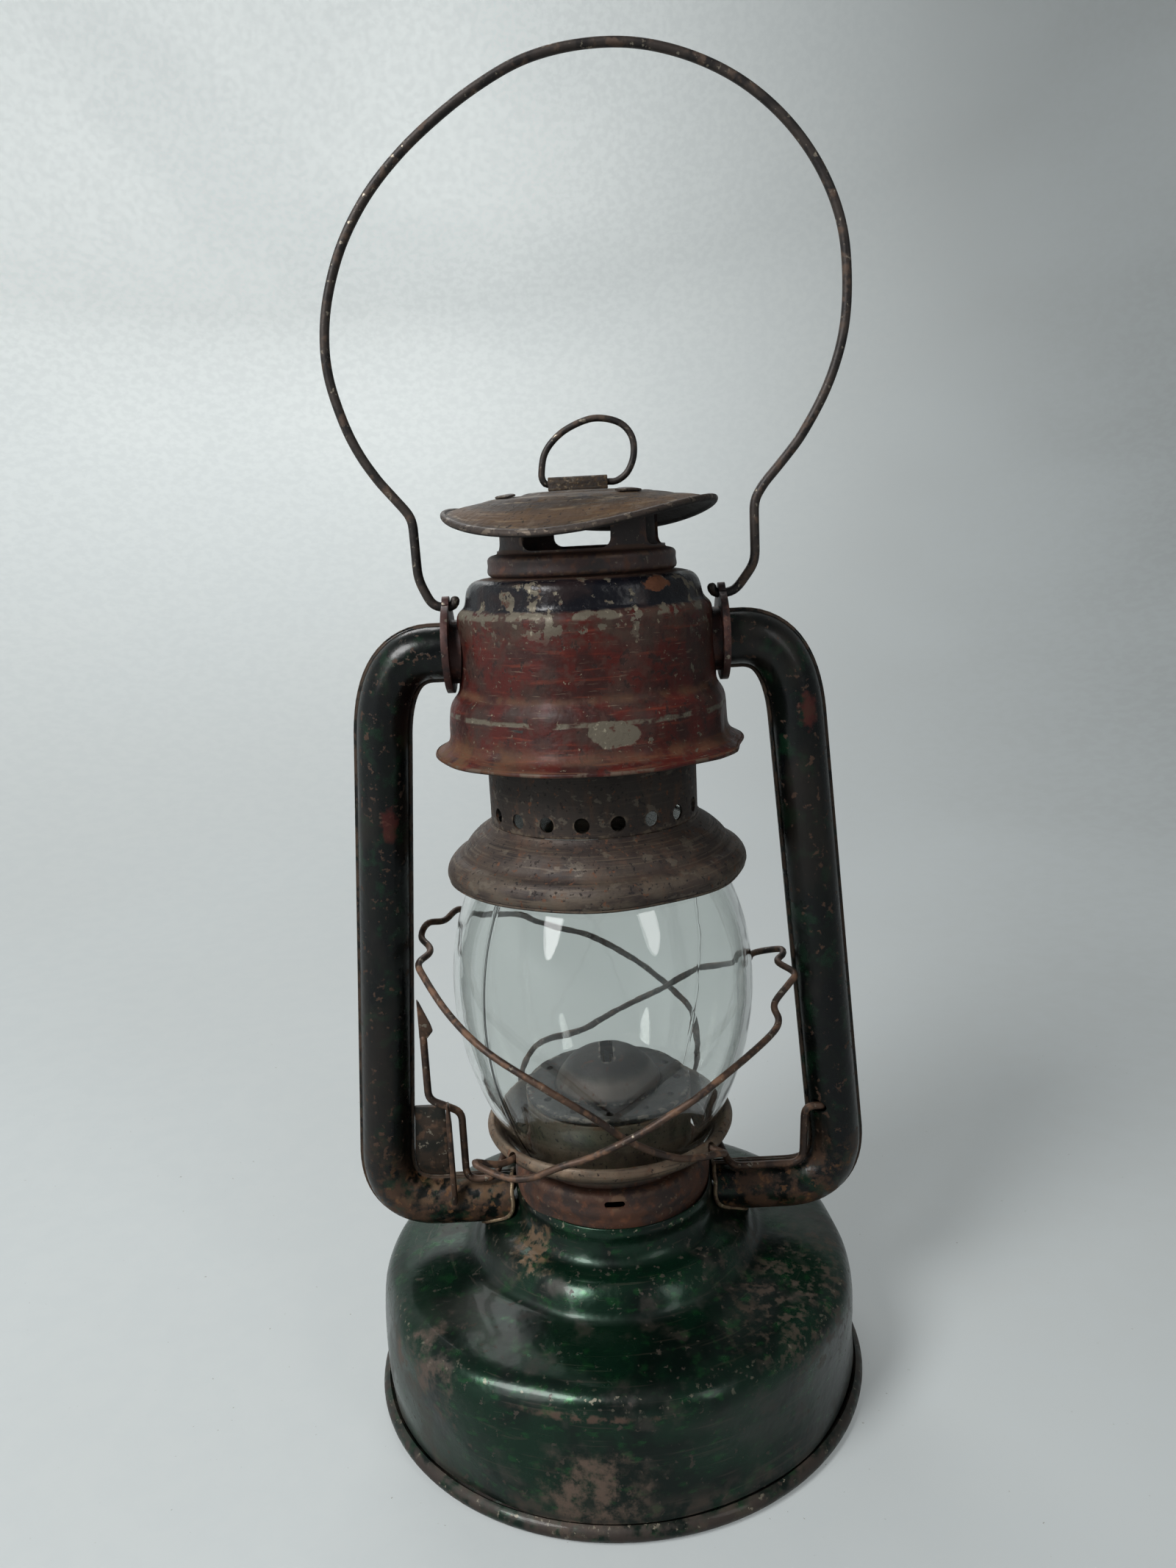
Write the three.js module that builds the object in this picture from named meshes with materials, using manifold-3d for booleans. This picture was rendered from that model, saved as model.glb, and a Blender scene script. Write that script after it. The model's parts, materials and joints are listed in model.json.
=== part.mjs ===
// Tubular railroad lantern with a wire bail, a lifting globe and a sliding crown.
// Millimetres, +Z up. The origin is the middle of the foot, on the surface that it stands on.
// The front, where the burner body has its air slot, faces -Y.
import * as THREE from 'three';
import { mergeVertices } from 'three/addons/utils/BufferGeometryUtils.js';
import Module from 'manifold-3d';

const wasm = await Module();
wasm.setup();

// Clearances and sheet
const seatGap = 0.3;
const sheet = 0.8;
const overrun = 3;
const weldDistance = 0.0001;

// Fount: each height rises from the one before
const sideRadius = 84;
const footProud = 2.5;
const footRadius = sideRadius + footProud;
const footHeight = 5.8;
const footRingInset = 2.2;
const footRingRadius = footRadius - footRingInset;
const footRingWidth = 5;
const bottomRecess = 3.2;
const bottomSheet = 1;
const sideHeight = 30;
const deckRimInset = 7.5;
const deckRimRadius = sideRadius - deckRimInset;
const deckRimRise = 17.4;
const deckRimHeight = sideHeight + deckRimRise;
const neckRadius = 35.9;
const crownBeadReach = 6.5;
const crownBeadRadius = neckRadius + crownBeadReach;
const stepPlaceShare = 0.29912;
const stepRadius = crownBeadRadius + (deckRimRadius - crownBeadRadius) * stepPlaceShare;
const stepRise = 2.8;
const stepHeight = deckRimHeight + stepRise;
const crownBeadRise = 10.2;
const crownBeadHeight = stepHeight + crownBeadRise;
const neckRise = 12.6;
const neckHeight = crownBeadHeight + neckRise;
const neckAirHole = 5;
const neckAirShare = 0.52;
const footRollShares = [[0.75, 0.18], [1, 0.5], [0.75, 0.82]];
const shoulderShares = [[0.06, 0.5], [0.2, 0.73], [0.48, 0.9], [1, 1]];
const deckMiddleShares = [0.5, 0.56];
const stepShares = [[0.2, 0.14], [0.4, 0.52], [0.7, 0.86], [1, 1]];
const neckShares = [
  [0.35, 0.03], [0.7, 0.13], [0.9, 0.31], [1, 0.62], [0.92, 0.85], [1.1, 1],
];

// Filler at the back of the deck
const fillerAngle = 118;
const fillerSeatShare = 0.55;
const fillerRadiusShare = 0.3682;
const fillerRadius = (deckRimRadius - stepRadius) * fillerRadiusShare;
const fillerWall = 1.2;
const fillerHeight = 6;
const fillerCapGap = 0.5;
const fillerCapHeight = 8.5;
const fillerCapWall = 1;
const fillerKnurls = 20;
const fillerKnurlDepth = 0.7;
const fillerCapBore = fillerRadius + fillerWall + fillerCapGap;
const fillerCapRadius = fillerCapBore + fillerCapWall + fillerKnurlDepth;
const fillerStepGap = 1.6;
const fillerPlace = stepRadius + fillerStepGap + fillerCapRadius;
const gasketThickness = 1.5;

// Burner, seated under the fount's crown bead
const burnerNeckGap = 2.1;
const burnerSkirtRadius = neckRadius - burnerNeckGap;
const seatPlateDrop = 0.65;
const burnerFoot = crownBeadHeight - seatPlateDrop;
const burnerSkirtRise = 24.45;
const burnerSkirtTop = burnerFoot + burnerSkirtRise;
const burnerDrumInset = 5;
const burnerDrumRadius = burnerSkirtRadius - burnerDrumInset;
const burnerDrumRise = 22.2;
const burnerDrumTop = burnerSkirtTop + burnerDrumRise;
const burnerSlotWidth = 6.8;
const burnerSlotHeight = 2.3;
const burnerSlotDrop = 3.6;
const burnerShares = [[0, 0.65], [-0.14, 0.71], [0, 0.77], [0.02, 0.92], [0.2, 0.985], [1, 1]];
const deckThickness = 0.8;
const deckHoleRadius = 1.3;
const deckHoles = 12;
const deckHoleSides = 5;
const deckHoleShare = 0.55;
const coneInset = 10.4;
const coneRadius = burnerDrumRadius - coneInset;
const coneHeight = 12.5;
const coneShares = [[0, 0], [0.01, 0.16], [0.12, 0.45], [0.34, 0.78], [0.62, 0.95], [0.86, 1]];
const flameSlotLength = 17;
const flameSlotWidth = 4.4;
const seatPlateInset = 1.4;
const seatPlateRadius = crownBeadRadius - seatPlateInset;
const seatPlateThickness = 1.2;
const seatPlateTop = burnerFoot - seatGap;
const wickTubeLength = 15.6;
const wickTubeWidth = 4.2;
const wickTubeWall = 0.6;
const wickTubeBottom = 50;
const wickTubeBelowCone = 6;
const wickLength = 13.6;
const wickWidth = 1.8;
const wickBottom = 14;
const wickProud = 2;
const wickShaftRadius = 1.2;
const wickShaftDrop = 4.6;
const wickShaftHeight = burnerSkirtTop - wickShaftDrop;
const wickWheelRadius = 3.4;
const wickWheelWidth = 1.6;
const wickWheelTeeth = 10;
const wickWheelSpacing = 7;
const wickWheelClearance = 0.35;
const wickKnobRadius = 6.2;
const wickKnobWidth = 3.2;
const wickKnobOut = 8.6;
const wickKnobPlace = neckRadius + wickKnobOut;
const wickKnobKnurls = 16;
const wickKnobKnurlDepth = 0.5;

// Heights at which the side tubes leave the neck and carry the bell
const tubeRadius = 8.6;
const tubeFootRise = 5.6;
const tubeFootHeight = crownBeadHeight + tubeFootRise;
const tubeRise = 194;
const tubeTopHeight = tubeFootHeight + tubeRise;

// Bell between the tubes, round the chimney: from its flange up, and from its dome out
const chimneyRadius = 34.1;
const domeReach = 3.1;
const domeRadius = chimneyRadius + domeReach;
const domeFootReach = 0.6;
const domeFootRadius = domeRadius + domeFootReach;
const waistReach = 2.7;
const waistRadius = domeFootRadius + waistReach;
const waistFootReach = 0.8;
const waistFootRadius = waistRadius + waistFootReach;
const bellStepReach = 3.5;
const bellStepRadius = waistFootRadius + bellStepReach;
const bellFootReach = 0.8;
const bellFootRadius = bellStepRadius + bellFootReach;
const flangeReach = 5.4;
const flangeRadius = bellFootRadius + flangeReach;
const flangeDrop = 33.3;
const flangeHeight = tubeTopHeight - flangeDrop;
const bellFootRise = 5.9;
const bellFootHeight = flangeHeight + bellFootRise;
const bellStepRise = 8.7;
const bellStepHeight = bellFootHeight + bellStepRise;
const waistFootRise = 6.3;
const waistFootHeight = bellStepHeight + waistFootRise;
const waistTopRise = 23.8;
const waistTopHeight = waistFootHeight + waistTopRise;
const domeFootRise = 3.6;
const domeFootHeight = waistTopHeight + domeFootRise;
const domeRise = 7.8;
const domeHeight = domeFootHeight + domeRise;
const bellAirHole = 7;
const sleeveClearance = 3;
const flangeShares = [[0, 0.14], [0.25, 0.33], [0.75, 0.62], [1, 1]];
const bellStepShares = [[0.2, 0.42], [0.7, 0.78], [1, 1]];
const waistShares = [[0.25, 0.35], [0.8, 0.7], [1, 1]];
const domeShares = [[1, 0.6], [3.5, 0.88], [8, 1]];

// Ears that carry the bail
const earGap = 2.4;
const earInner = waistRadius + earGap;
const earThickness = 2.2;
const earOuter = earInner + earThickness;
const earRadius = 14.4;
const earRise = 1.2;
const earMiddle = tubeTopHeight + earRise;
const earSaddleRadius = 10.2;
const earSaddleDepth = 5;

// Bends and seams of the side tubes, which lean in to the ears
const seamReach = 9.6;
const seamSheet = 0.9;
const tubeTopReach = 20.1;
const tubeTopBend = earOuter + tubeTopReach;
const tubeTopLean = 2.4;
const tubeTopBendLow = tubeTopBend + tubeTopLean;
const tubeTopCornerRise = 1;
const tubeTopBendDrop = 25;
const tubeTopBendReach = 17;
const tubeLean = 11.4;
const tubeFootOut = tubeTopBendLow + tubeLean;
const tubeFootCornerReach = 1;
const tubeFootBendRise = 20;
const tubeFootBendReach = 18;
const tubeInsetAtNeck = 0.5;
const tubeArc = 162;
const tubeArcSteps = 6;
const tubeBoreSteps = 4;
const tubeBendSteps = 6;

// Bail
const bailWire = 3;
const bailPivotRise = 13.2;
const bailPivotHeight = earMiddle + bailPivotRise;
const bailHalfWidth = 80;
const bailRise = 160.6;
const bailSteps = 24;
const bailStubLength = 3.4;
const bailStubOffset = 2;
const bailHoleClearance = 0.3;

// Crown: chimney, skirt, windowed collar and cap, which slide as one
const chimneyFootDrop = 22.7;
const chimneyFootHeight = flangeHeight - chimneyFootDrop;
const chimneyRise = 42;
const chimneyTopHeight = chimneyFootHeight + chimneyRise;
const chimneyHoleRadius = 2.45;
const chimneyHoles = 19;
const chimneyHoleRise = 4.6;
const chimneyFirstHole = 263;
const globeRoom = 14.4;
const globeRadius = tubeTopBend - globeRoom;
const skirtInset = 1.2;
const skirtRadius = globeRadius - skirtInset;
const skirtLipInset = 1.3;
const skirtLipRadius = skirtRadius - skirtLipInset;
const skirtDrop = 18.6;
const skirtLipHeight = chimneyFootHeight - skirtDrop;
const skirtRimRise = 3.2;
const skirtRimHeight = skirtLipHeight + skirtRimRise;
const skirtRidgeInset = 5.8;
const skirtRidgeRadius = skirtRadius - skirtRidgeInset;
const skirtRidgeRise = 6.6;
const skirtRidgeHeight = skirtRimHeight + skirtRidgeRise;
const skirtLipShares = [[0.7, 0.4], [1, 1]];
const skirtRollShares = [[0.08, 0.4], [0.5, 0.78], [0.9, 0.9], [1, 1]];
const skirtShares = [[0.12, 0.28], [0.45, 0.6], [0.85, 0.86], [1, 1]];
const collarInset = 5.7;
const collarRadius = chimneyRadius - collarInset;
const collarFootRise = 3;
const collarFoot = chimneyTopHeight + collarFootRise;
const collarRingReach = 1.7;
const collarRingRadius = collarRadius + collarRingReach;
const collarRingGap = 0.4;
const collarRingFoot = domeHeight + collarRingGap;
const collarRingRise = 6.6;
const collarRingTop = collarRingFoot + collarRingRise;
const collarRingShares = [[1, 0.05], [0.8, 0.55], [1, 0.8], [0.1, 1]];
const postInset = 1.8;
const postRadius = collarRadius - postInset;
const windowSillRise = 1.2;
const windowSill = collarRingTop + windowSillRise;
const windows = 4;
const windowWidth = 27.4;
const windowTurn = -11.25;
const capReach = 17;
const capRadius = postRadius + capReach;
const capCrownRise = 17.2;
const capCrownHeight = windowSill + capCrownRise;
const capRimDrop = 7.8;
const capThickness = 1.1;
const capFlatShare = 0.7;
const capFlatRadius = capRadius * capFlatShare;
const capStepShare = 0.87;
const capPostShare = 0.2;
const capShares = [
  [0, 0], [0.07, 0.13], [0.16, 0.4], [0.3, 0.72], [0.45, capStepShare], [0.56, capStepShare],
  [0.62, 1], [1, 1],
];
const capWarp = 4.2;
const capWarpTurn = -20;
const tabLength = 8;
const tabWidth = 3.4;
const tabThickness = 0.9;
const springWire = 1.2;
const springTurns = 4;
const springTurnSteps = 8;
const springRadiusShare = 0.65;

// Lift ring on the cap and its clip
const ringWire = 2.1;
const ringHalfWidth = 15;
const ringRise = 19.2;
const ringClipLength = 18.6;
const ringButtGap = 0.8;
const ringShares = [
  [-0.3, 0], [-0.63, 0], [-0.725, 0.07], [-0.74, 0.2], [-0.66, 0.48], [-0.43, 0.71], [-0.08, 0.89],
  [0.41, 1], [0.9, 0.92], [1.16, 0.7], [1.19, 0.4], [1.05, 0.14], [0.82, 0.01], [0.62, 0], [0.3, 0],
];

// Globe and the plate that carries it, round the burner's drum
const globeFootReach = 6.8;
const globeFootRadius = burnerDrumRadius + globeFootReach;
const globeWidestShare = 0.48424;
const globeLowShares = [
  [0, 0], [0, 0.04], [0.2, 0.14], [0.47, 0.31], [0.76, 0.545], [0.93, 0.77], [1, 1],
];
const globeHighShares = [[0.04, 0.22], [0.17, 0.42], [0.42, 0.62], [0.74, 0.79], [1, 0.92], [1, 1]];
const glass = 2.2;
const plateReach = 7.4;
const plateRadius = globeFootRadius + plateReach;
const plateFloorRise = 6.2;
const plateFloorHeight = burnerSkirtTop + plateFloorRise;
const plateRimRise = 7.4;
const plateRimHeight = plateFloorHeight + plateRimRise;
const plateOpeningGap = 1.2;
const plateOpeningRadius = burnerDrumRadius + plateOpeningGap;
const plateBead = 2.3;
const plateHoleRadius = 2;

// Guard wires round the globe
const guardWire = 2.3;
const guardSideReach = 10.2;
const guardReach = globeRadius + guardSideReach;
const guardStandOff = 1.2;
const guardDepth = globeRadius + guardStandOff;
const guardARiseShare = 0.5556;
const guardBRiseShare = 0.4481;

// Lift wire: hooked in the right tube, round the burner under the plate, up the left tube
const liftWire = 2.6;
const liftPivotInset = 6.8;
const liftPivotOut = tubeFootOut - liftPivotInset;
const liftPivotRise = 31.5;
const liftPivotHeight = tubeFootHeight + liftPivotRise;
const liftPivotHole = 2.3;
const liftLegInset = 4.7;
const liftLegOut = liftPivotOut - liftLegInset;
const liftRunRise = 10;
const liftRunHeight = tubeFootHeight + liftRunRise;
const liftPlace = -5.6;
const liftLoopReach = 3.1;
const liftLoopRadius = neckRadius + liftLoopReach;
const liftLoopDrop = 6.8;
const liftLoopHeight = plateFloorHeight - liftLoopDrop;
const liftLoopAngles = [0, 25, 55, 90, 125, 155, 180];
const liftLoopEndShare = 0.5;
const leverInset = 16.8;
const leverOut = tubeFootOut - leverInset;
const leverLegInset = 11;
const leverLegOut = leverOut - leverLegInset;
const leverShelfRise = 28.4;
const leverShelfHeight = liftRunHeight + leverShelfRise;
const leverTopRise = 39.6;
const leverTopHeight = leverShelfHeight + leverTopRise;
const leverCatchLength = 13;
const leverCatchReach = 3.4;

// Corner web and the guide blade at the left arm
const webThickness = 1.8;
const webInset = 21.4;
const webOut = tubeFootOut - webInset;
const webRise = 36;
const webTop = tubeFootHeight + webRise;
const bladeWidth = 1.6;
const bladeDepth = 3.4;
const bladeRise = 41;
const bladeTop = tubeFootHeight + bladeRise;
const bladeInset = 23.6;
const bladeOut = tubeFootOut - bladeInset;
const bladeTipShare = 0.8;
const bladePlace = -9.2;

// Counts of facets
const turnedFacets = 26;
const wideFacets = 32;
const narrowFacets = 20;
const smallFacets = 14;
const wireSides = 8;
const bendSteps = 3;
const longestLegShare = 0.45;
const leastSpreadShare = 0.5;

const rusty = { color: 0x4b3a30, roughness: 0.85, metalness: 0.35 };
const green = { color: 0x1d2f25, roughness: 0.4, metalness: 0.2 };
const red = { color: 0x7d3330, roughness: 0.6, metalness: 0.2 };
const brownTin = { color: 0x5a4a3e, roughness: 0.75, metalness: 0.4 };
const ochreTin = { color: 0x6e5c46, roughness: 0.8, metalness: 0.35 };
const brass = { color: 0x8a7040, roughness: 0.5, metalness: 0.8 };
const clearGlass = { color: 0xdfe8e2, roughness: 0.05, metalness: 0, transparent: true, opacity: 0.35 };
const cotton = { color: 0xd8cfb8, roughness: 1, metalness: 0 };
const cork = { color: 0x8f6b45, roughness: 0.95, metalness: 0 };

const radians = THREE.MathUtils.degToRad;
const between = (low, high, share) => low + (high - low) * share;

// Points of an outline from shares between two named corners
const stretch = (from, to, shares) =>
  shares.map(([a, b]) => [between(from[0], to[0], a), between(from[1], to[1], b)]);

// A closed surface with shared vertices, no empty triangles and its faces pointing out
function closed(geometry) {
  const bare = new THREE.BufferGeometry();
  bare.setAttribute('position', geometry.getAttribute('position').clone());
  if (geometry.index) bare.setIndex(geometry.index.clone());
  const merged = mergeVertices(bare, weldDistance);
  const source = merged.index.array;
  const position = merged.getAttribute('position');
  const kept = [];
  let volume = 0;
  const a = new THREE.Vector3();
  const b = new THREE.Vector3();
  const c = new THREE.Vector3();
  for (let i = 0; i < source.length; i += 3) {
    const [p, q, r] = [source[i], source[i + 1], source[i + 2]];
    if (p === q || q === r || r === p) continue;
    kept.push(p, q, r);
    a.fromBufferAttribute(position, p);
    b.fromBufferAttribute(position, q);
    c.fromBufferAttribute(position, r);
    volume += a.dot(b.cross(c));
  }
  if (volume < 0) {
    for (let i = 0; i < kept.length; i += 3) [kept[i], kept[i + 1]] = [kept[i + 1], kept[i]];
  }
  merged.setIndex(kept);
  return merged;
}

function solid(geometry) {
  const surface = closed(geometry);
  return new wasm.Manifold(new wasm.Mesh({
    numProp: 3,
    vertProperties: Float32Array.from(surface.getAttribute('position').array),
    triVerts: Uint32Array.from(surface.index.array),
  }));
}

function surfaceOf(body) {
  const mesh = body.getMesh();
  const geometry = new THREE.BufferGeometry();
  geometry.setAttribute('position', new THREE.BufferAttribute(mesh.vertProperties, 3));
  geometry.setIndex(new THREE.BufferAttribute(mesh.triVerts, 1));
  return geometry;
}

const cut = (geometry, ...tools) =>
  surfaceOf(tools.reduce((body, tool) => body.subtract(solid(tool)), solid(geometry)));
const joined = (geometry, ...others) =>
  surfaceOf(others.reduce((body, other) => body.add(solid(other)), solid(geometry)));

// Solid of revolution about +Z from radius and height pairs
function turned(profile, facets = turnedFacets) {
  const points = profile.map(([r, z]) => new THREE.Vector2(r, z));
  return new THREE.LatheGeometry(points, facets).rotateX(Math.PI / 2);
}

// The same outline moved sideways by a distance: to its left, seen along the outline
function offset(profile, distance) {
  return profile.map((point, i) => {
    const before = profile[Math.max(i - 1, 0)];
    const after = profile[Math.min(i + 1, profile.length - 1)];
    const into = new THREE.Vector2(point[0] - before[0], point[1] - before[1]);
    const out = new THREE.Vector2(after[0] - point[0], after[1] - point[1]);
    if (into.lengthSq() === 0) into.copy(out);
    if (out.lengthSq() === 0) out.copy(into);
    into.normalize();
    out.normalize();
    const side = new THREE.Vector2(-into.y - out.y, into.x + out.x).normalize();
    const spread = Math.max(side.dot(new THREE.Vector2(-into.y, into.x)), leastSpreadShare);
    return [point[0] + side.x * distance / spread, point[1] + side.y * distance / spread];
  });
}

// Turned sheet whose outside, drawn from its foot up, is the profile
function turnedSheet(profile, thickness = sheet, facets = turnedFacets) {
  return turned([...profile, ...offset(profile, thickness).reverse(), profile[0]], facets);
}

// Solid filled in to the axis, grown by a clearance, to cut neighbours with
function envelope(profile, clearance, facets = turnedFacets) {
  const grown = offset(profile, -clearance);
  const [first, last] = [grown[0], grown[grown.length - 1]];
  return turned([[0, first[1]], ...grown, [0, last[1]]], facets);
}

function rod(radius, length, sides = smallFacets) {
  return new THREE.CylinderGeometry(radius, radius, length, sides).rotateX(Math.PI / 2);
}

const alongX = (geometry) => geometry.rotateY(Math.PI / 2);
const alongY = (geometry) => geometry.rotateX(Math.PI / 2);

function ringOutline(radius, sides) {
  const points = [];
  for (let i = 0; i < sides; i += 1) {
    const angle = (i / sides) * Math.PI * 2;
    points.push(new THREE.Vector2(radius * Math.cos(angle), radius * Math.sin(angle)));
  }
  return new THREE.Shape(points);
}

// A route of pieces, each taken in its own number of steps
class Route extends THREE.Curve {
  constructor(pieces) {
    super();
    this.pieces = pieces;
    this.steps = pieces.reduce((sum, piece) => sum + piece.steps, 0);
  }

  getPoint(t, target = new THREE.Vector3()) {
    let along = t * this.steps;
    let index = 0;
    while (index < this.pieces.length - 1 && along > this.pieces[index].steps) {
      along -= this.pieces[index].steps;
      index += 1;
    }
    const piece = this.pieces[index];
    return piece.curve.getPoint(Math.min(along / piece.steps, 1), target);
  }

  getUtoTmapping(u) {
    return u;
  }
}

const straight = (from, to, steps = 1) => ({ curve: new THREE.LineCurve3(from, to), steps });
const bend = (from, corner, to, steps = bendSteps) =>
  ({ curve: new THREE.QuadraticBezierCurve3(from, corner, to), steps });

// Straight runs joined by rounded corners of a given length of leg
function bentRoute(points, leg) {
  const pieces = [];
  let from = points[0];
  for (let i = 1; i < points.length - 1; i += 1) {
    const corner = points[i];
    const into = Math.min(leg, corner.distanceTo(points[i - 1]) * longestLegShare);
    const out = Math.min(leg, corner.distanceTo(points[i + 1]) * longestLegShare);
    const start = corner.clone().lerp(points[i - 1], into / corner.distanceTo(points[i - 1]));
    const end = corner.clone().lerp(points[i + 1], out / corner.distanceTo(points[i + 1]));
    pieces.push(straight(from, start), bend(start, corner, end));
    from = end;
  }
  pieces.push(straight(from, points[points.length - 1]));
  return new Route(pieces);
}

function smoothRoute(points, stepsPerPoint = 2) {
  const curve = new THREE.CatmullRomCurve3(points, false, 'centripetal');
  return new Route([{ curve, steps: (points.length - 1) * stepsPerPoint }]);
}

const swept = (outline, route) => new THREE.ExtrudeGeometry(outline, {
  steps: route.steps, bevelEnabled: false, extrudePath: route,
});
const wire = (route, thickness, sides = wireSides) =>
  swept(ringOutline(thickness / 2, sides), route);

const lantern = new THREE.Group();
function add(name, geometry, finish, parent = lantern) {
  const surface = closed(geometry);
  surface.computeVertexNormals();
  const mesh = new THREE.Mesh(surface, new THREE.MeshStandardMaterial(finish));
  mesh.name = name;
  parent.add(mesh);
  return mesh;
}

// Fount: bottom with its rolled foot, and the body pressed over it
const bodyFoot = footHeight + seatGap;
const fountSide = [
  [sideRadius, bodyFoot],
  [sideRadius, sideHeight],
  ...stretch([sideRadius, sideHeight], [deckRimRadius, deckRimHeight], shoulderShares),
];
const fountDome = [
  ...stretch([deckRimRadius, deckRimHeight], [stepRadius, stepHeight], [deckMiddleShares]),
  [stepRadius, stepHeight],
  ...stretch([stepRadius, stepHeight], [crownBeadRadius, crownBeadHeight], stepShares),
];
const fountNeck = stretch([crownBeadRadius, crownBeadHeight], [neckRadius, neckHeight], neckShares);
const fountOutline = [...fountSide, ...fountDome, ...fountNeck];

function fountBottom() {
  const footTop = footHeight;
  const ringInner = footRingRadius - footRingWidth;
  const bodyInner = sideRadius - sheet;
  return turned([
    [0, bottomRecess],
    [ringInner - footRingWidth / 3, bottomRecess],
    [ringInner, 0],
    [footRingRadius, 0],
    ...stretch([footRingRadius, 0], [footRadius, footTop], footRollShares),
    [sideRadius, footTop],
    [bodyInner, footTop],
    [bodyInner - sheet, bottomRecess + bottomSheet],
    [0, bottomRecess + bottomSheet],
  ], wideFacets);
}

function atFiller(geometry, height) {
  const angle = radians(fillerAngle);
  return geometry.translate(fillerPlace * Math.cos(angle), fillerPlace * Math.sin(angle), height);
}

const fillerSeat = between(deckRimHeight, stepHeight, fillerSeatShare);
const neckAirHeight = between(crownBeadHeight, neckHeight, neckAirShare);
const neckAirTool = () => new THREE.CylinderGeometry(neckAirHole, neckAirHole,
  2 * (neckRadius + overrun), smallFacets).rotateZ(Math.PI / 2).translate(0, 0, neckAirHeight);

function fountBody() {
  const fillerHole = atFiller(rod(fillerRadius + seatGap, 4 * overrun), fillerSeat);
  return cut(turnedSheet(fountOutline, sheet, wideFacets), fillerHole, neckAirTool());
}

add('fount_bottom', fountBottom(), green);
add('fount_body', fountBody(), green);

// Filler neck, its screw cap with a grip edge, and the cork ring inside the cap
function fillerNeck() {
  const foot = -2 * sheet;
  const flange = fillerRadius + fillerWall;
  return turned([
    [fillerRadius - fillerWall, foot], [fillerRadius, foot], [fillerRadius, sheet],
    [flange, sheet], [flange, 2 * sheet], [fillerRadius, 2 * sheet],
    [fillerRadius, fillerHeight], [fillerRadius - fillerWall, fillerHeight],
    [fillerRadius - fillerWall, foot],
  ], smallFacets);
}

// Round outline with an even wave round its edge
function knurled(radius, depth, count) {
  const points = [];
  for (let i = 0; i < 2 * count; i += 1) {
    const angle = (i / count) * Math.PI;
    const reach = i % 2 ? radius - depth : radius;
    points.push(new THREE.Vector2(reach * Math.cos(angle), reach * Math.sin(angle)));
  }
  return new THREE.Shape(points);
}

function fillerCap() {
  const outside = new THREE.ExtrudeGeometry(
    knurled(fillerCapRadius, fillerKnurlDepth, fillerKnurls),
    { depth: fillerCapHeight, bevelEnabled: false });
  const bore = rod(fillerCapBore, 2 * (fillerCapHeight - fillerCapWall));
  return cut(outside, bore);
}

const capSeat = fillerSeat + fillerHeight + seatGap + gasketThickness + seatGap
  + fillerCapWall - fillerCapHeight;
add('filler_neck', atFiller(fillerNeck(), fillerSeat + sheet), brass);
add('filler_cap', atFiller(fillerCap(), capSeat + sheet), brass);
const gasketRadius = fillerRadius + fillerWall / 2;
add('filler_gasket', atFiller(turned([
  [fillerRadius - fillerWall, 0], [gasketRadius, 0],
  [gasketRadius, gasketThickness], [fillerRadius - fillerWall, gasketThickness],
  [fillerRadius - fillerWall, 0],
], smallFacets), fillerSeat + sheet + fillerHeight + seatGap), cork);

// Burner: seat plate under the fount's crown, body with its air slot, perforated deck and cone
function burnerSeat() {
  const disc = rod(seatPlateRadius, seatPlateThickness, narrowFacets)
    .translate(0, 0, seatPlateTop - seatPlateThickness / 2);
  const slot = new THREE.BoxGeometry(wickTubeWidth + 2 * seatGap, wickTubeLength + 2 * seatGap,
    4 * seatPlateThickness).translate(0, 0, seatPlateTop);
  return cut(disc, slot);
}

const burnerOutline = [
  [burnerSkirtRadius, burnerFoot],
  ...stretch([burnerSkirtRadius, burnerFoot], [burnerDrumRadius, burnerSkirtTop], burnerShares),
  [burnerDrumRadius, burnerDrumTop],
];
const shaftOffset = wickWidth / 2 + wickWheelClearance + wickWheelRadius;

function burnerBody() {
  const slot = new THREE.BoxGeometry(burnerSlotWidth, burnerSkirtRadius, burnerSlotHeight)
    .translate(0, -burnerSkirtRadius, burnerSkirtTop - burnerSlotDrop);
  const shaftHole = alongY(rod(wickShaftRadius + seatGap, burnerSkirtRadius))
    .translate(shaftOffset, burnerSkirtRadius, wickShaftHeight);
  return cut(turnedSheet(burnerOutline, sheet, narrowFacets), slot, shaftHole);
}

const deckHeight = burnerDrumTop + seatGap;
function burnerDeck() {
  const plate = turned([
    [coneRadius - 2 * sheet, deckHeight], [burnerDrumRadius, deckHeight],
    [burnerDrumRadius, deckHeight + deckThickness],
    [coneRadius - 2 * sheet, deckHeight + deckThickness], [coneRadius - 2 * sheet, deckHeight],
  ], narrowFacets);
  const holes = [];
  const holeRing = between(coneRadius, burnerDrumRadius, deckHoleShare);
  for (let i = 0; i < deckHoles; i += 1) {
    const angle = (i / deckHoles) * Math.PI * 2;
    holes.push(rod(deckHoleRadius, overrun, deckHoleSides)
      .translate(holeRing * Math.cos(angle), holeRing * Math.sin(angle), deckHeight));
  }
  return cut(plate, ...holes);
}

const coneFoot = deckHeight + deckThickness + seatGap;
const coneTop = coneFoot + coneHeight;
function burnerCone() {
  const shell = turnedSheet(stretch([coneRadius, coneFoot], [0, coneTop], coneShares), sheet,
    smallFacets);
  const slot = new THREE.BoxGeometry(flameSlotWidth, flameSlotLength, coneHeight)
    .translate(0, 0, coneTop);
  return cut(shell, slot);
}

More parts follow.
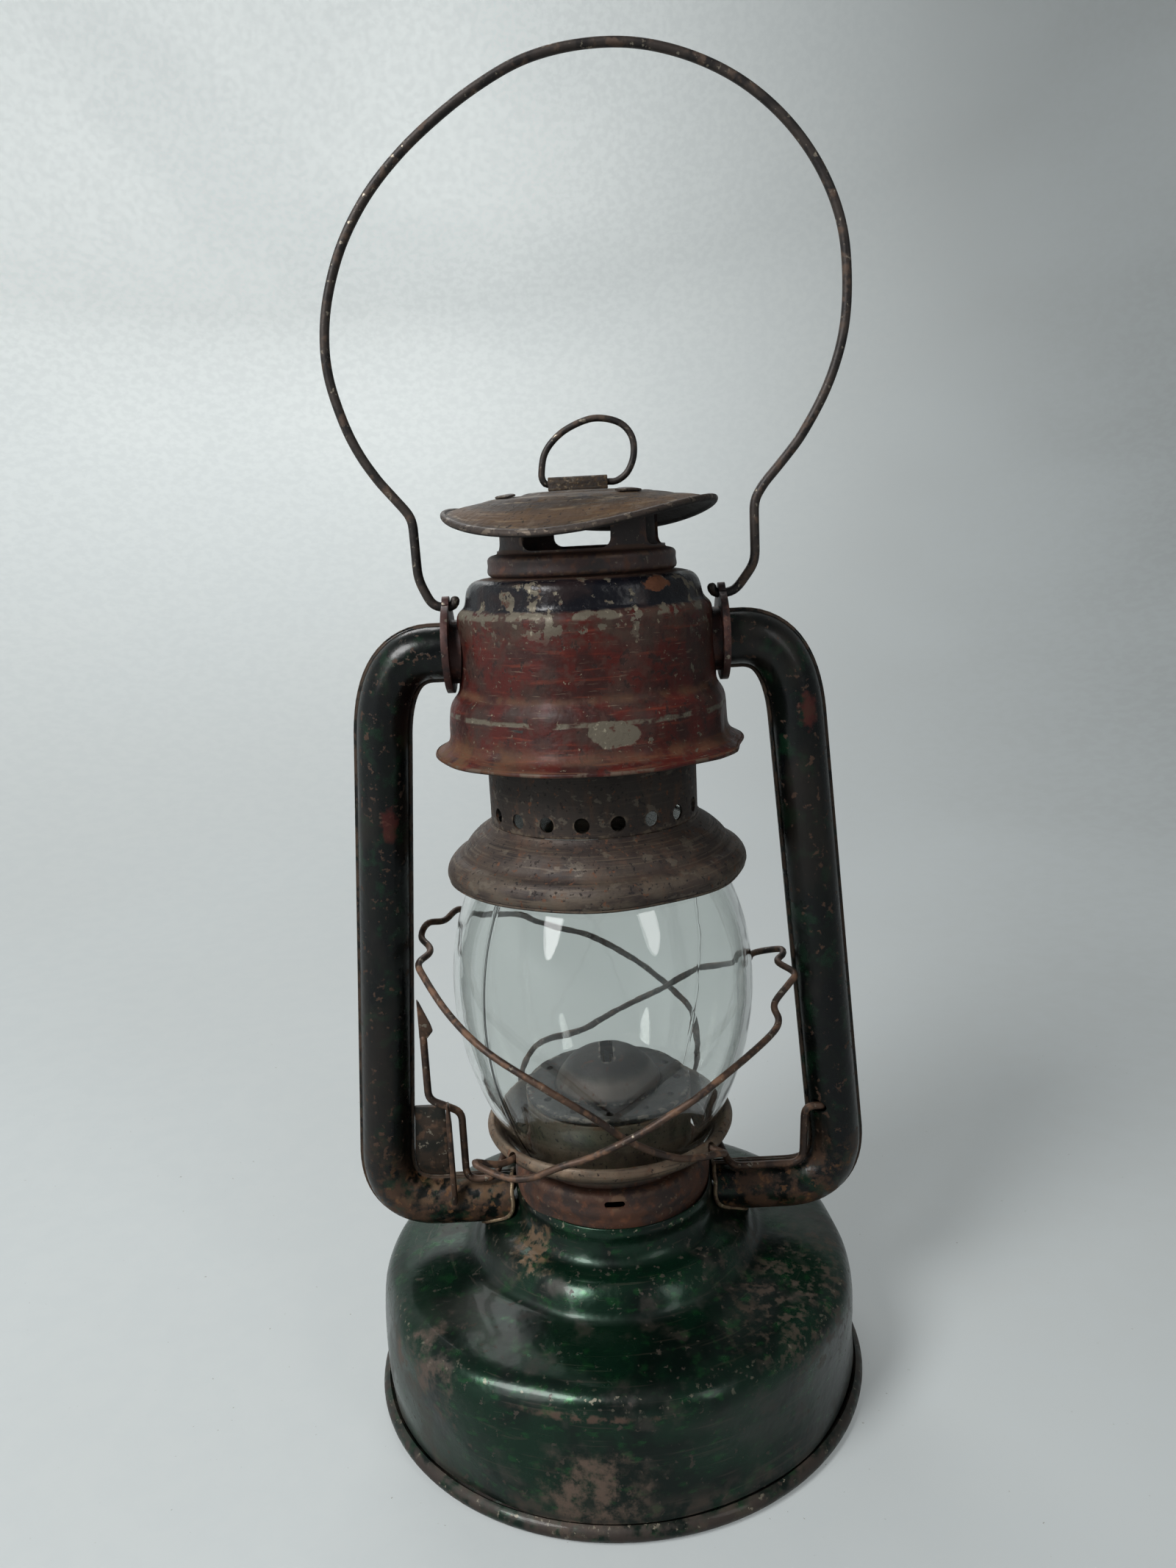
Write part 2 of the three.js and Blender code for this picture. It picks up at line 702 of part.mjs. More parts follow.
function flatTube(length, width, wall, low, high) {
  const outside = new THREE.BoxGeometry(width, length, high - low).translate(0, 0, (low + high) / 2);
  const inside = new THREE.BoxGeometry(width - 2 * wall, length - 2 * wall, high - low + overrun)
    .translate(0, 0, (low + high) / 2);
  const window = new THREE.BoxGeometry(width, wickWheelSpacing + 3 * wickWheelWidth,
    2 * wickWheelRadius + 3 * wickWheelWidth).translate(width / 2, 0, wickShaftHeight);
  return cut(outside, inside, window);
}

const wickTop = coneTop - wickTubeBelowCone + wickProud;
add('burner_seat', burnerSeat(), brass);
add('burner_body', burnerBody(), rusty);
add('burner_deck', burnerDeck(), brownTin);
add('burner_cone', burnerCone(), brownTin);
add('wick_tube', flatTube(wickTubeLength, wickTubeWidth, wickTubeWall, wickTubeBottom,
  coneTop - wickTubeBelowCone), brass);
add('wick', new THREE.BoxGeometry(wickWidth, wickLength, wickTop - wickBottom)
  .translate(0, 0, (wickTop + wickBottom) / 2), cotton);

// Wick shaft with two toothed wheels and its knob at the back
function wickWheel(place) {
  const outline = knurled(wickWheelRadius, wickWheelRadius / 5, wickWheelTeeth);
  const wheel = new THREE.ExtrudeGeometry(outline, { depth: wickWheelWidth, bevelEnabled: false });
  const bore = rod(wickShaftRadius + seatGap, 3 * wickWheelWidth, wireSides);
  return alongY(cut(wheel, bore))
    .translate(shaftOffset, place + wickWheelWidth / 2, wickShaftHeight);
}

function wickKnob() {
  const outline = knurled(wickKnobRadius, wickKnobKnurlDepth, wickKnobKnurls);
  const knob = new THREE.ExtrudeGeometry(outline, { depth: wickKnobWidth, bevelEnabled: false });
  const bore = rod(wickShaftRadius + seatGap, 4 * wickKnobWidth, wireSides);
  return alongY(cut(knob, bore))
    .translate(shaftOffset, wickKnobPlace + wickKnobWidth, wickShaftHeight);
}

const shaftStart = -wickWheelSpacing / 2 - 2 * wickWheelWidth;
const shaftEnd = wickKnobPlace + wickKnobWidth + wickShaftRadius;
add('wick_shaft', alongY(rod(wickShaftRadius, shaftEnd - shaftStart, wireSides))
  .translate(shaftOffset, (shaftStart + shaftEnd) / 2, wickShaftHeight), brass);
add('wick_wheel_front', wickWheel(-wickWheelSpacing / 2), brass);
add('wick_wheel_back', wickWheel(wickWheelSpacing / 2), brass);
add('wick_knob', wickKnob(), brass);

// Side tubes: a front and a back half on each side, with a standing seam along both edges
function tubeRoute(side) {
  const place = (x, z) => new THREE.Vector3(side * x, 0, z);
  const neckEnd = place(neckRadius - tubeInsetAtNeck, tubeFootHeight);
  const lowStart = place(tubeFootOut - tubeFootBendReach, tubeFootHeight);
  const lowCorner = place(tubeFootOut + tubeFootCornerReach, tubeFootHeight);
  const lowEnd = place(tubeFootOut, tubeFootHeight + tubeFootBendRise);
  const highCorner = place(tubeTopBend, tubeTopHeight + tubeTopCornerRise);
  const highStart = place(tubeTopBendLow, tubeTopHeight - tubeTopBendDrop);
  const highEnd = place(tubeTopBend - tubeTopBendReach, tubeTopHeight);
  return new Route([
    straight(neckEnd, lowStart), bend(lowStart, lowCorner, lowEnd, tubeBendSteps),
    straight(lowEnd, highStart), bend(highStart, highCorner, highEnd, tubeBendSteps),
    straight(highEnd, place(earOuter + seatGap, tubeTopHeight)),
  ]);
}

function tubeHalf(facing) {
  const seam = seatGap / 2;
  const outer = [];
  const inner = [];
  for (let i = 0; i <= tubeArcSteps; i += 1) {
    const angle = radians(tubeArc * (i / tubeArcSteps - 0.5));
    outer.push([tubeRadius * Math.cos(angle), tubeRadius * Math.sin(angle)]);
  }
  const bore = tubeRadius - sheet;
  for (let i = 1; i < tubeBoreSteps; i += 1) {
    const angle = Math.PI * (i / tubeBoreSteps - 0.5);
    inner.push([bore * Math.cos(angle), bore * Math.sin(angle)]);
  }
  const points = [
    [seam, -seamReach], [seam + seamSheet, -seamReach], ...outer,
    [seam + seamSheet, seamReach], [seam, seamReach], [seam, bore], ...inner.reverse(), [seam, -bore],
  ];
  return new THREE.Shape(points.map(([x, y]) => new THREE.Vector2(y, facing * x)));
}

const fountEnvelope = envelope(fountOutline, seatGap, wideFacets);
const liftHoleTool = alongX(rod(liftPivotHole, tubeRadius, wireSides))
  .translate(liftPivotOut, liftPlace, liftPivotHeight);
for (const [sideName, side] of [['left', -1], ['right', 1]]) {
  for (const [halfName, face] of [['front', -1], ['back', 1]]) {
    add(`tube_${sideName}_${halfName}`,
      cut(swept(tubeHalf(side * face), tubeRoute(side)), fountEnvelope, liftHoleTool), green);
  }
}

// Web in the left tube's lower corner, cut to the bend, and the blade that guides the lever
function cornerWeb() {
  const low = tubeFootHeight + tubeRadius;
  const outer = tubeFootOut - tubeRadius;
  const plate = new THREE.BoxGeometry(outer - webOut, webThickness, webTop - low)
    .translate(-(outer + webOut) / 2, 0, (webTop + low) / 2);
  const clearance = wire(tubeRoute(-1), 2 * (seamReach + seatGap), narrowFacets);
  return cut(plate, clearance);
}

function guideBlade() {
  const low = tubeFootHeight + Math.sqrt(tubeRadius ** 2 - liftPlace ** 2) / 2;
  const outline = new THREE.Shape();
  outline.moveTo(-bladeWidth / 2, low);
  outline.lineTo(bladeWidth / 2, low);
  outline.lineTo(bladeWidth / 2, between(low, bladeTop, bladeTipShare));
  outline.lineTo(bladeWidth / 5, bladeTop);
  outline.lineTo(-bladeWidth / 5, bladeTop);
  outline.lineTo(-bladeWidth / 2, between(low, bladeTop, bladeTipShare));
  const blade = new THREE.ExtrudeGeometry(outline, { depth: bladeDepth, bevelEnabled: false })
    .rotateX(Math.PI / 2).translate(-bladeOut, bladePlace + bladeDepth / 2, 0);
  const clearance = wire(tubeRoute(-1), 2 * (tubeRadius + seatGap), narrowFacets);
  return cut(blade, clearance);
}
add('corner_web', cornerWeb(), green);
add('guide_blade', guideBlade(), rusty);

// Bell between the tubes, open below, with the crown's guide sleeve inside it
const bellOutline = [
  [flangeRadius - sheet, flangeHeight],
  ...stretch([flangeRadius, flangeHeight], [bellFootRadius, bellFootHeight], flangeShares),
  [bellStepRadius, bellStepHeight],
  ...stretch([bellStepRadius, bellStepHeight], [waistFootRadius, waistFootHeight], bellStepShares),
  [waistRadius, waistTopHeight],
  ...stretch([waistRadius, waistTopHeight], [domeFootRadius, domeFootHeight], waistShares),
  ...stretch([domeFootRadius, domeFootHeight], [domeRadius, domeHeight], domeShares),
  [collarRadius + 2 * seatGap, domeHeight],
];

function bell() {
  const airTool = alongX(rod(bellAirHole, 2 * flangeRadius)).translate(0, 0, tubeTopHeight);
  return cut(turnedSheet(bellOutline), airTool);
}

const sleeveRadius = chimneyRadius + sleeveClearance;
const sleeveTop = waistFootHeight - overrun;
function bellSleeve() {
  const low = flangeHeight + sheet;
  const reach = bellStepRadius - sheet - seatGap;
  const collarTop = bellStepHeight - 2 * sheet;
  return turned([
    [sleeveRadius, low], [sleeveRadius + sheet, low], [sleeveRadius + sheet, collarTop - sheet],
    [reach, collarTop - sheet], [reach, collarTop], [sleeveRadius + sheet, collarTop],
    [sleeveRadius + sheet, sleeveTop], [sleeveRadius, sleeveTop], [sleeveRadius, low],
  ]);
}

add('bell', bell(), red);
add('bell_sleeve', bellSleeve(), brownTin);

// Ears: a round plate on the tube's end, with a saddle that fits the bell's side
const bellEnvelope = envelope(bellOutline, seatGap);
function ear(side) {
  const plate = alongX(rod(earRadius, earThickness, 28))
    .translate(side * (earInner + earThickness / 2), 0, earMiddle);
  const saddle = alongX(rod(earSaddleRadius, earSaddleDepth))
    .translate(side * (earInner - earSaddleDepth / 2 + seatGap), 0, tubeTopHeight);
  const airTool = alongX(rod(bellAirHole, 4 * earSaddleDepth))
    .translate(side * earInner, 0, tubeTopHeight);
  const pivotTool = alongX(rod(bailWire / 2 + bailHoleClearance, 4 * earThickness))
    .translate(side * earInner, 0, bailPivotHeight);
  return cut(joined(plate, saddle), bellEnvelope, airTool, pivotTool);
}

add('ear_left', ear(-1), rusty);
add('ear_right', ear(1), rusty);

// Bail: one wire, hooked through both ears, leaning out to the right as in use
const bailShares = [
  [-0.653, 0.057], [-0.657, 0.176], [-0.76, 0.236], [-0.836, 0.295], [-0.89, 0.357], [-0.932, 0.44],
  [-0.936, 0.514], [-0.907, 0.592], [-0.84, 0.678], [-0.736, 0.758], [-0.606, 0.826],
  [-0.459, 0.884], [-0.299, 0.935], [-0.119, 0.977], [0.084, 0.999], [0.294, 0.996], [0.5, 0.966],
  [0.686, 0.917], [0.845, 0.848], [0.965, 0.764], [1.038, 0.67], [1.061, 0.57], [1.041, 0.475],
  [0.981, 0.384], [0.887, 0.301], [0.809, 0.252], [0.715, 0.2], [0.688, 0.174], [0.688, 0.057],
];
function bailRoute() {
  const place = (x, z) => new THREE.Vector3(x, 0, z);
  const points = bailShares.map(([x, z]) =>
    place(x * bailHalfWidth, bailPivotHeight + z * bailRise));
  const stub = earInner - bailStubOffset;
  const elbow = earOuter + bailWire;
  const hook = (side) => [
    place(side * stub, bailPivotHeight + bailStubLength), place(side * stub, bailPivotHeight),
    place(side * elbow, bailPivotHeight),
  ];
  return [hook(-1), points, hook(1).reverse()];
}

function bail() {
  const [left, loop, right] = bailRoute();
  const bow = new THREE.CatmullRomCurve3(loop.slice(2, -2), false, 'centripetal');
  const leftLeg = bentRoute([...left, loop[0], loop[1], loop[2]], bailWire);
  const rightLeg = bentRoute([loop[loop.length - 3], loop[loop.length - 2],
    loop[loop.length - 1], ...right], bailWire);
  return new Route([...leftLeg.pieces, { curve: bow, steps: bailSteps }, ...rightLeg.pieces]);
}
add('bail', wire(bail(), bailWire, 6), rusty);

// Crown: skirt, pierced chimney, windowed collar, cap with four clenched tabs, spring
const skirtOutline = [
  [skirtLipRadius, skirtLipHeight],
  ...stretch([skirtLipRadius, skirtLipHeight], [skirtRadius, skirtRimHeight], skirtLipShares),
  ...stretch([skirtRadius, skirtRimHeight], [skirtRidgeRadius, skirtRidgeHeight], skirtRollShares),
  ...stretch([skirtRidgeRadius, skirtRidgeHeight], [chimneyRadius, chimneyFootHeight], skirtShares),
];

function chimney() {
  const shoulder = collarRadius - sheet;
  const pipe = turnedSheet([
    [chimneyRadius, chimneyFootHeight + seatGap], [chimneyRadius, chimneyTopHeight],
    [shoulder, collarFoot - seatGap],
  ]);
  const holes = [];
  for (let i = 0; i < chimneyHoles; i += 1) {
    holes.push(alongX(rod(chimneyHoleRadius, overrun * 3, 6)).translate(chimneyRadius, 0, 0)
      .rotateZ(radians(chimneyFirstHole) + (i / chimneyHoles) * Math.PI * 2)
      .translate(0, 0, chimneyFootHeight + chimneyHoleRise));
  }
  return cut(pipe, ...holes);
}

const postTop = capCrownHeight - capThickness - seatGap - capRimDrop * capPostShare;
function windowedCollar() {
  const pipe = turnedSheet([
    [collarRadius, collarFoot], [collarRadius, collarRingFoot],
    ...stretch([collarRadius, collarRingFoot], [collarRingRadius, collarRingTop], collarRingShares),
    [postRadius, windowSill], [postRadius, postTop],
  ], sheet, narrowFacets);
  const tools = [];
  for (let i = 0; i < windows; i += 1) {
    tools.push(new THREE.BoxGeometry(postRadius, windowWidth, postTop - windowSill + overrun)
      .translate(postRadius, 0, (postTop + windowSill + overrun) / 2)
      .rotateZ(radians(windowTurn) + (i / windows) * Math.PI * 2));
  }
  return cut(pipe, ...tools);
}

// Height that the bent cap's sheet is lifted or pressed down at a point
function capLift(x, y) {
  const out = Math.hypot(x, y);
  const share = Math.max(out - capFlatRadius, 0) / (capRadius - capFlatRadius);
  const angle = Math.atan2(y, x) - radians(capWarpTurn);
  return capWarp * share * Math.cos(2 * angle);
}

function cap() {
  const rim = capCrownHeight - capRimDrop;
  const outside = stretch([capRadius, rim], [0, capCrownHeight], capShares);
  const inside = outside.map(([r, z]) => [r, z - capThickness]).reverse();
  const disc = closed(turned([...outside, ...inside, outside[0]]));
  const position = disc.getAttribute('position');
  for (let i = 0; i < position.count; i += 1) {
    position.setZ(i, position.getZ(i) + capLift(position.getX(i), position.getY(i)));
  }
  return disc;
}

function capTab(index) {
  const angle = radians(windowTurn) + ((index + 0.5) / windows) * Math.PI * 2;
  const seat = between(capCrownHeight - capRimDrop, capCrownHeight, capStepShare) + seatGap;
  return new THREE.BoxGeometry(tabWidth, tabLength, tabThickness)
    .translate(postRadius, 0, seat + tabThickness / 2).rotateZ(angle);
}

// Hold-down spring between the chimney's shoulder and the bell's top
function crownSpring() {
  const radius = between(collarRadius, chimneyRadius, springRadiusShare);
  const low = (chimneyTopHeight + collarFoot + springWire) / 2 + seatGap / 2;
  const high = domeHeight - sheet - springWire;
  const points = [];
  const steps = springTurns * springTurnSteps;
  for (let i = 0; i <= steps; i += 1) {
    const angle = (i / springTurnSteps) * Math.PI * 2;
    points.push(new THREE.Vector3(radius * Math.cos(angle), radius * Math.sin(angle),
      between(low, high, i / steps)));
  }
  console.log('least gap between the turns of the spring, mm:',
    ((high - low) / springTurns - springWire).toFixed(2));
  return wire(smoothRoute(points, 1), springWire, 4);
}

add('skirt', turnedSheet(skirtOutline), brownTin);
add('chimney', chimney(), brownTin);
add('window_collar', windowedCollar(), rusty);
add('cap', cap(), ochreTin);
for (let i = 0; i < windows; i += 1) add(`cap_tab_${i + 1}`, capTab(i), ochreTin);
add('crown_spring', crownSpring(), rusty);

// Lift ring, its ends butted inside the clip, and the clip on the cap
const ringPivotHeight = capCrownHeight + 2 * seatGap + sheet + ringWire / 2;
function liftRing() {
  const place = ([x, z]) => new THREE.Vector3(x * ringHalfWidth, 0, ringPivotHeight + z * ringRise);
  const start = new THREE.Vector3(-ringButtGap / 2, 0, ringPivotHeight);
  const end = new THREE.Vector3(ringButtGap / 2, 0, ringPivotHeight);
  return wire(smoothRoute([start, ...ringShares.map(place), end], 1), ringWire, 6);
}

function ringClip() {
  const bore = ringWire / 2 + seatGap;
  const foot = capCrownHeight + seatGap;
  const reach = bore + 3 * sheet;
  const outline = new THREE.Shape();
  outline.moveTo(-reach, foot);
  outline.lineTo(-bore, foot);
  outline.lineTo(-bore, ringPivotHeight);
  outline.absarc(0, ringPivotHeight, bore, Math.PI, 0, true);
  outline.lineTo(bore, foot);
  outline.lineTo(reach, foot);
  outline.lineTo(reach, foot + sheet);
  outline.lineTo(bore + sheet, foot + sheet);
  outline.lineTo(bore + sheet, ringPivotHeight);
  outline.absarc(0, ringPivotHeight, bore + sheet, 0, Math.PI, false);
  outline.lineTo(-bore - sheet, foot + sheet);
  outline.lineTo(-reach, foot + sheet);
  const strap = new THREE.ExtrudeGeometry(outline,
    { depth: ringClipLength, bevelEnabled: false, curveSegments: 6 });
  return strap.rotateX(Math.PI / 2).rotateZ(Math.PI / 2).translate(-ringClipLength / 2, 0, 0);
}
add('lift_ring', liftRing(), rusty);
add('ring_clip', ringClip(), ochreTin);

// Globe and its plate, with four holes in the rim for the guard wires
const plateFloorTop = plateFloorHeight + sheet / 3;
const globeFootHeight = plateFloorTop + seatGap;
const globeTopRadius = chimneyRadius + seatGap / 3;
const globeTopHeight = chimneyFootHeight - 2 * sheet + seatGap / 2;
const globeWidestHeight = between(globeFootHeight, globeTopHeight, globeWidestShare);
const globeOutline = [
  ...stretch([globeFootRadius, globeFootHeight], [globeRadius, globeWidestHeight], globeLowShares),
  ...stretch([globeRadius, globeWidestHeight], [globeTopRadius, globeTopHeight], globeHighShares),
];
const plateOutline = [
  [plateOpeningRadius, plateFloorHeight - sheet], [plateRadius - 3 * plateBead, plateFloorHeight - sheet],
  [plateRadius - plateBead / 2, plateRimHeight - 2 * plateBead],
  [plateRadius, plateRimHeight - plateBead],
  [plateRadius - plateBead / 2, plateRimHeight], [plateRadius - plateBead, plateRimHeight],
  [plateRadius - 2 * plateBead, plateRimHeight - plateBead],
  [plateRadius - 3 * plateBead, plateFloorTop], [plateOpeningRadius, plateFloorTop],
  [plateOpeningRadius, plateFloorHeight - sheet],
];
const guardHookShares = [0.72, -0.6];
add('globe', turnedSheet(globeOutline, glass), clearGlass);

function globePlate() {
  const tools = [];
  for (const side of [-1, 1]) {
    for (const face of [-1, 1]) {
      tools.push(alongX(rod(plateHoleRadius, 8 * plateBead, wireSides)).translate(plateRadius, 0, 0)
        .rotateZ(Math.atan2(face * -guardHookShares[1], side * guardHookShares[0]))
        .translate(0, 0, plateRimHeight - plateBead));
    }
  }
  return cut(turned(plateOutline), ...tools);
}
add('globe_plate', globePlate(), brownTin);

// Guard wires: each is hooked in two holes of the plate's rim, crosses the globe in front and
// behind, and bows round the seam of the far side tube. Shares of reach, depth and rise.
const guardAShares = [
  [0.61, -0.58, 0], [0.62, -0.6, 0], [0.55, -0.67, 0], [0.46, -0.735, 0.015],
  [0.31, -0.83, 0.07], [0.094, -0.9, 0.2], [-0.09, -0.965, 0.375], [-0.316, -0.975, 0.54],
  [-0.612, -0.82, 0.695], [-0.815, -0.56, 0.81], [-0.965, -0.29, 0.935], [-1, -0.18, 0.975],
  [-0.955, -0.04, 0.985], [-0.965, 0.06, 0.995], [-1.02, 0.16, 1.025], [-0.985, 0.24, 1.08],
  [-0.9, 0.33, 1.065], [-0.83, 0.45, 1.095], [-0.75, 0.6, 1.03], [-0.51, 0.82, 0.95],
  [-0.38, 0.95, 0.85], [-0.08, 1.01, 0.735], [0.165, 0.99, 0.595], [0.33, 0.97, 0.475],
  [0.48, 0.89, 0.36], [0.58, 0.72, 0.235], [0.615, 0.6, 0.1], [0.6, 0.57, 0],
];
const guardBShares = [
  [-0.61, -0.58, 0.06], [-0.72, -0.6, 0.06], [-0.73, -0.675, 0.03], [-0.67, -0.72, 0],
  [-0.55, -0.78, -0.03], [-0.424, -0.84, 0], [-0.27, -0.9, 0.1], [-0.13, -0.93, 0.165],
  [0.015, -0.97, 0.26], [0.155, -0.995, 0.36], [0.292, -1, 0.465], [0.433, -0.965, 0.555],
  [0.58, -0.865, 0.635], [0.738, -0.71, 0.7], [0.88, -0.52, 0.745], [0.93, -0.4, 0.78],
  [0.92, -0.29, 0.84], [1.02, -0.19, 0.94], [1.06, -0.12, 0.98], [0.98, 0, 1.02],
  [1.03, 0.11, 1.03], [1.02, 0.18, 1.04], [0.89, 0.38, 0.94], [0.85, 0.5, 0.83],
  [0.61, 0.77, 0.685], [0.395, 0.86, 0.515], [0.15, 0.93, 0.35], [-0.08, 0.91, 0.215],
  [-0.22, 0.87, 0.165], [-0.45, 0.76, 0.14], [-0.6, 0.64, 0.08], [-0.6, 0.57, 0],
];
const rimHookHeight = plateRimHeight - plateBead;
function guard(shares, riseShare, side) {
  const rise = (globeTopHeight - globeFootHeight) * riseShare;
  const hookAngle = Math.atan2(guardHookShares[1], guardHookShares[0]);
  const rimPoint = (reach, face) => new THREE.Vector3(side * reach * Math.cos(hookAngle),
    face * reach * Math.sin(-hookAngle), rimHookHeight);
  const route = shares.map(([x, y, z]) =>
    new THREE.Vector3(x * guardReach, y * guardDepth, plateRimHeight + z * rise));
  route[0] = rimPoint(plateRadius - 2 * plateBead, -1);
  route[1] = rimPoint(plateRadius + 2 * guardWire, -1);
  route[route.length - 1] = rimPoint(plateRadius - 2 * plateBead, 1);
  route[route.length - 2] = rimPoint(plateRadius + guardWire, 1);
  return wire(smoothRoute(route, 1), guardWire, 6);
}
add('guard_wire_a', guard(guardAShares, guardARiseShare, 1), rusty);
add('guard_wire_b', guard(guardBShares, guardBRiseShare, -1), rusty);

// Lift wire with its lever: the catch at its top hooks out over the tube's seam when lifted
function liftLever() {
  const at = (x, y, z) => new THREE.Vector3(x, y, z);
  const points = [
    at(liftPivotOut + liftWire, liftPlace, liftPivotHeight),
    at(liftLegOut, liftPlace, liftPivotHeight),
    at(liftLegOut - liftWire / 3, liftPlace, liftRunHeight),
    at(liftLoopRadius + liftWire, liftPlace, liftRunHeight),
  ];
  const endLevel = between(liftRunHeight, liftLoopHeight, liftLoopEndShare);
  for (const angle of liftLoopAngles) {
    const level = angle > 0 && angle < 180 ? liftLoopHeight : endLevel;
    points.push(at(liftLoopRadius * Math.cos(radians(angle)),
      liftLoopRadius * Math.sin(radians(angle)), level));
  }
  points.push(
    at(-liftLoopRadius - liftWire, liftPlace, liftRunHeight),
    at(-leverLegOut, liftPlace, liftRunHeight),
    at(-leverLegOut, liftPlace, leverShelfHeight - liftWire),
    at(-leverLegOut - 2 * liftWire, liftPlace, leverShelfHeight),
    at(-leverOut, liftPlace, leverShelfHeight + liftWire),
    at(-leverOut, liftPlace, leverTopHeight - leverCatchLength),
  );
  const bentWire = wire(bentRoute(points, 2 * liftWire), liftWire, 6);
  const low = leverTopHeight - leverCatchLength - liftWire / 2;
  const outline = new THREE.Shape();
  outline.moveTo(-liftWire / 2, low);
  outline.lineTo(liftWire / 2, low);
  outline.lineTo(leverCatchReach, low + leverCatchLength / 5);
  outline.lineTo(-liftWire / 2, leverTopHeight);
  const plate = new THREE.ExtrudeGeometry(outline, { depth: liftWire / 2, bevelEnabled: false })
    .rotateX(Math.PI / 2).translate(-leverOut, liftPlace + liftWire / 4, 0);
  return joined(bentWire, plate);
}
add('lift_lever', liftLever(), rusty);

export default lantern;
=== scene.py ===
"""Railroad lantern: worn sheet metal, wire and glass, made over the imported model.

Lengths are in millimetres up to the moment a mesh is made. +Z is up and the front is -Y.
"""

import json
import math

import bmesh
import bpy
import numpy as np
from mathutils import Matrix, Vector, noise

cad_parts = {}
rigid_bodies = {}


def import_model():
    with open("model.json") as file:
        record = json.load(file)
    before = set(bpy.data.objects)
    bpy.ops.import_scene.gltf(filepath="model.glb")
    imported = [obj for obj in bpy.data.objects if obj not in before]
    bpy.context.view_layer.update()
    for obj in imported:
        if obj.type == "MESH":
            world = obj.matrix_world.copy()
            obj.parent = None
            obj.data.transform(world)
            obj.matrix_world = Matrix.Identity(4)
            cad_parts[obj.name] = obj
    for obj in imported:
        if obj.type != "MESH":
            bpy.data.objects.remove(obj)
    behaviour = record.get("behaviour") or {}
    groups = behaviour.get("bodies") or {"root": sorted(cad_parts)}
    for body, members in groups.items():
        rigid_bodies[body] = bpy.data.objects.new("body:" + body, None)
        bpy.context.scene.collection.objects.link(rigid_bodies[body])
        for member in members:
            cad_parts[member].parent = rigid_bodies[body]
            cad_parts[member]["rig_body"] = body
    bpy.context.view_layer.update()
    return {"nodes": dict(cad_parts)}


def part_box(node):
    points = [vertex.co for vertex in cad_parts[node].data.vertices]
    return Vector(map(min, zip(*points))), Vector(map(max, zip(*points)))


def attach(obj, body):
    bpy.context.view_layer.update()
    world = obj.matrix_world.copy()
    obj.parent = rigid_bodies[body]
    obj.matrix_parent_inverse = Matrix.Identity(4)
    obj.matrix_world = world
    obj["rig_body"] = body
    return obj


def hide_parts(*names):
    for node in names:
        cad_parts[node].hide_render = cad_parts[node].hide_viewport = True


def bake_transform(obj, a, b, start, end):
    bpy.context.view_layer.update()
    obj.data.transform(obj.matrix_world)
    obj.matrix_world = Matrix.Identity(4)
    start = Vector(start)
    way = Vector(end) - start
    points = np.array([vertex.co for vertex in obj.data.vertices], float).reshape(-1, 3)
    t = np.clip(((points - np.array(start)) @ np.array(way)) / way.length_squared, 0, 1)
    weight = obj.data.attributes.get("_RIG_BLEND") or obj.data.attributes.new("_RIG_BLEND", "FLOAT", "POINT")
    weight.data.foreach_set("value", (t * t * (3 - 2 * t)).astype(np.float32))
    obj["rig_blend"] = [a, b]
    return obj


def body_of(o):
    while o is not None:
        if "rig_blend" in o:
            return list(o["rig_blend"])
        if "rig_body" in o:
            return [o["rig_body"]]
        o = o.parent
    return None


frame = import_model()

MM = 0.001
WIDE = 144
NARROW = 96
WIRE_SIDES = 12
SHEET = 0.8


# Camera: at the photograph's place, with its slight roll
PHOTO_SIZE = (1600, 2133)
FOCAL_PIXELS = 1614
SENSOR_HEIGHT = 24
CAMERA_PLACE = (-0.8, -382.8, 297.7)
CAMERA_PITCH = 12.3
CAMERA_YAW = 0.13
CAMERA_ROLL = 2.97


def make_camera():
    data = bpy.data.cameras.new("camera")
    data.sensor_fit = "VERTICAL"
    data.sensor_height = SENSOR_HEIGHT
    data.sensor_width = SENSOR_HEIGHT * PHOTO_SIZE[0] / PHOTO_SIZE[1]
    data.lens = SENSOR_HEIGHT * FOCAL_PIXELS / PHOTO_SIZE[1]
    data.clip_start = 0.01
    camera = bpy.data.objects.new("camera", data)
    bpy.context.collection.objects.link(camera)
    yaw = Matrix.Rotation(math.radians(CAMERA_YAW), 3, "Z")
    turn = yaw @ Matrix.Rotation(math.radians(-CAMERA_PITCH), 3, "X")
    right, forward, up = turn.col[0], turn.col[1], turn.col[2]
    roll = math.radians(CAMERA_ROLL)
    rolled_right = math.cos(roll) * right - math.sin(roll) * up
    rolled_up = math.sin(roll) * right + math.cos(roll) * up
    matrix = Matrix((rolled_right, rolled_up, -forward)).transposed().to_4x4()
    matrix.translation = Vector(CAMERA_PLACE) * MM
    camera.matrix_world = matrix
    bpy.context.scene.camera = camera


make_camera()


# Lines: smooth curves through named points, in the (radius, height) plane or in space
def catmull(points, steps=8):
    """A smooth curve through the points."""
    points = np.array(points, float)
    ends = [2 * points[0] - points[1]], [2 * points[-1] - points[-2]]
    padded = np.vstack([ends[0], points, ends[1]])
    line = []
    for i in range(len(points) - 1):
        a, b, c, d = padded[i:i + 4]
        for k in range(steps):
            t = k / steps
            line.append(0.5 * (2 * b + (c - a) * t + (2 * a - 5 * b + 4 * c - d) * t ** 2
                               + (3 * b - a - 3 * c + d) * t ** 3))
    line.append(points[-1])
    return np.array(line)


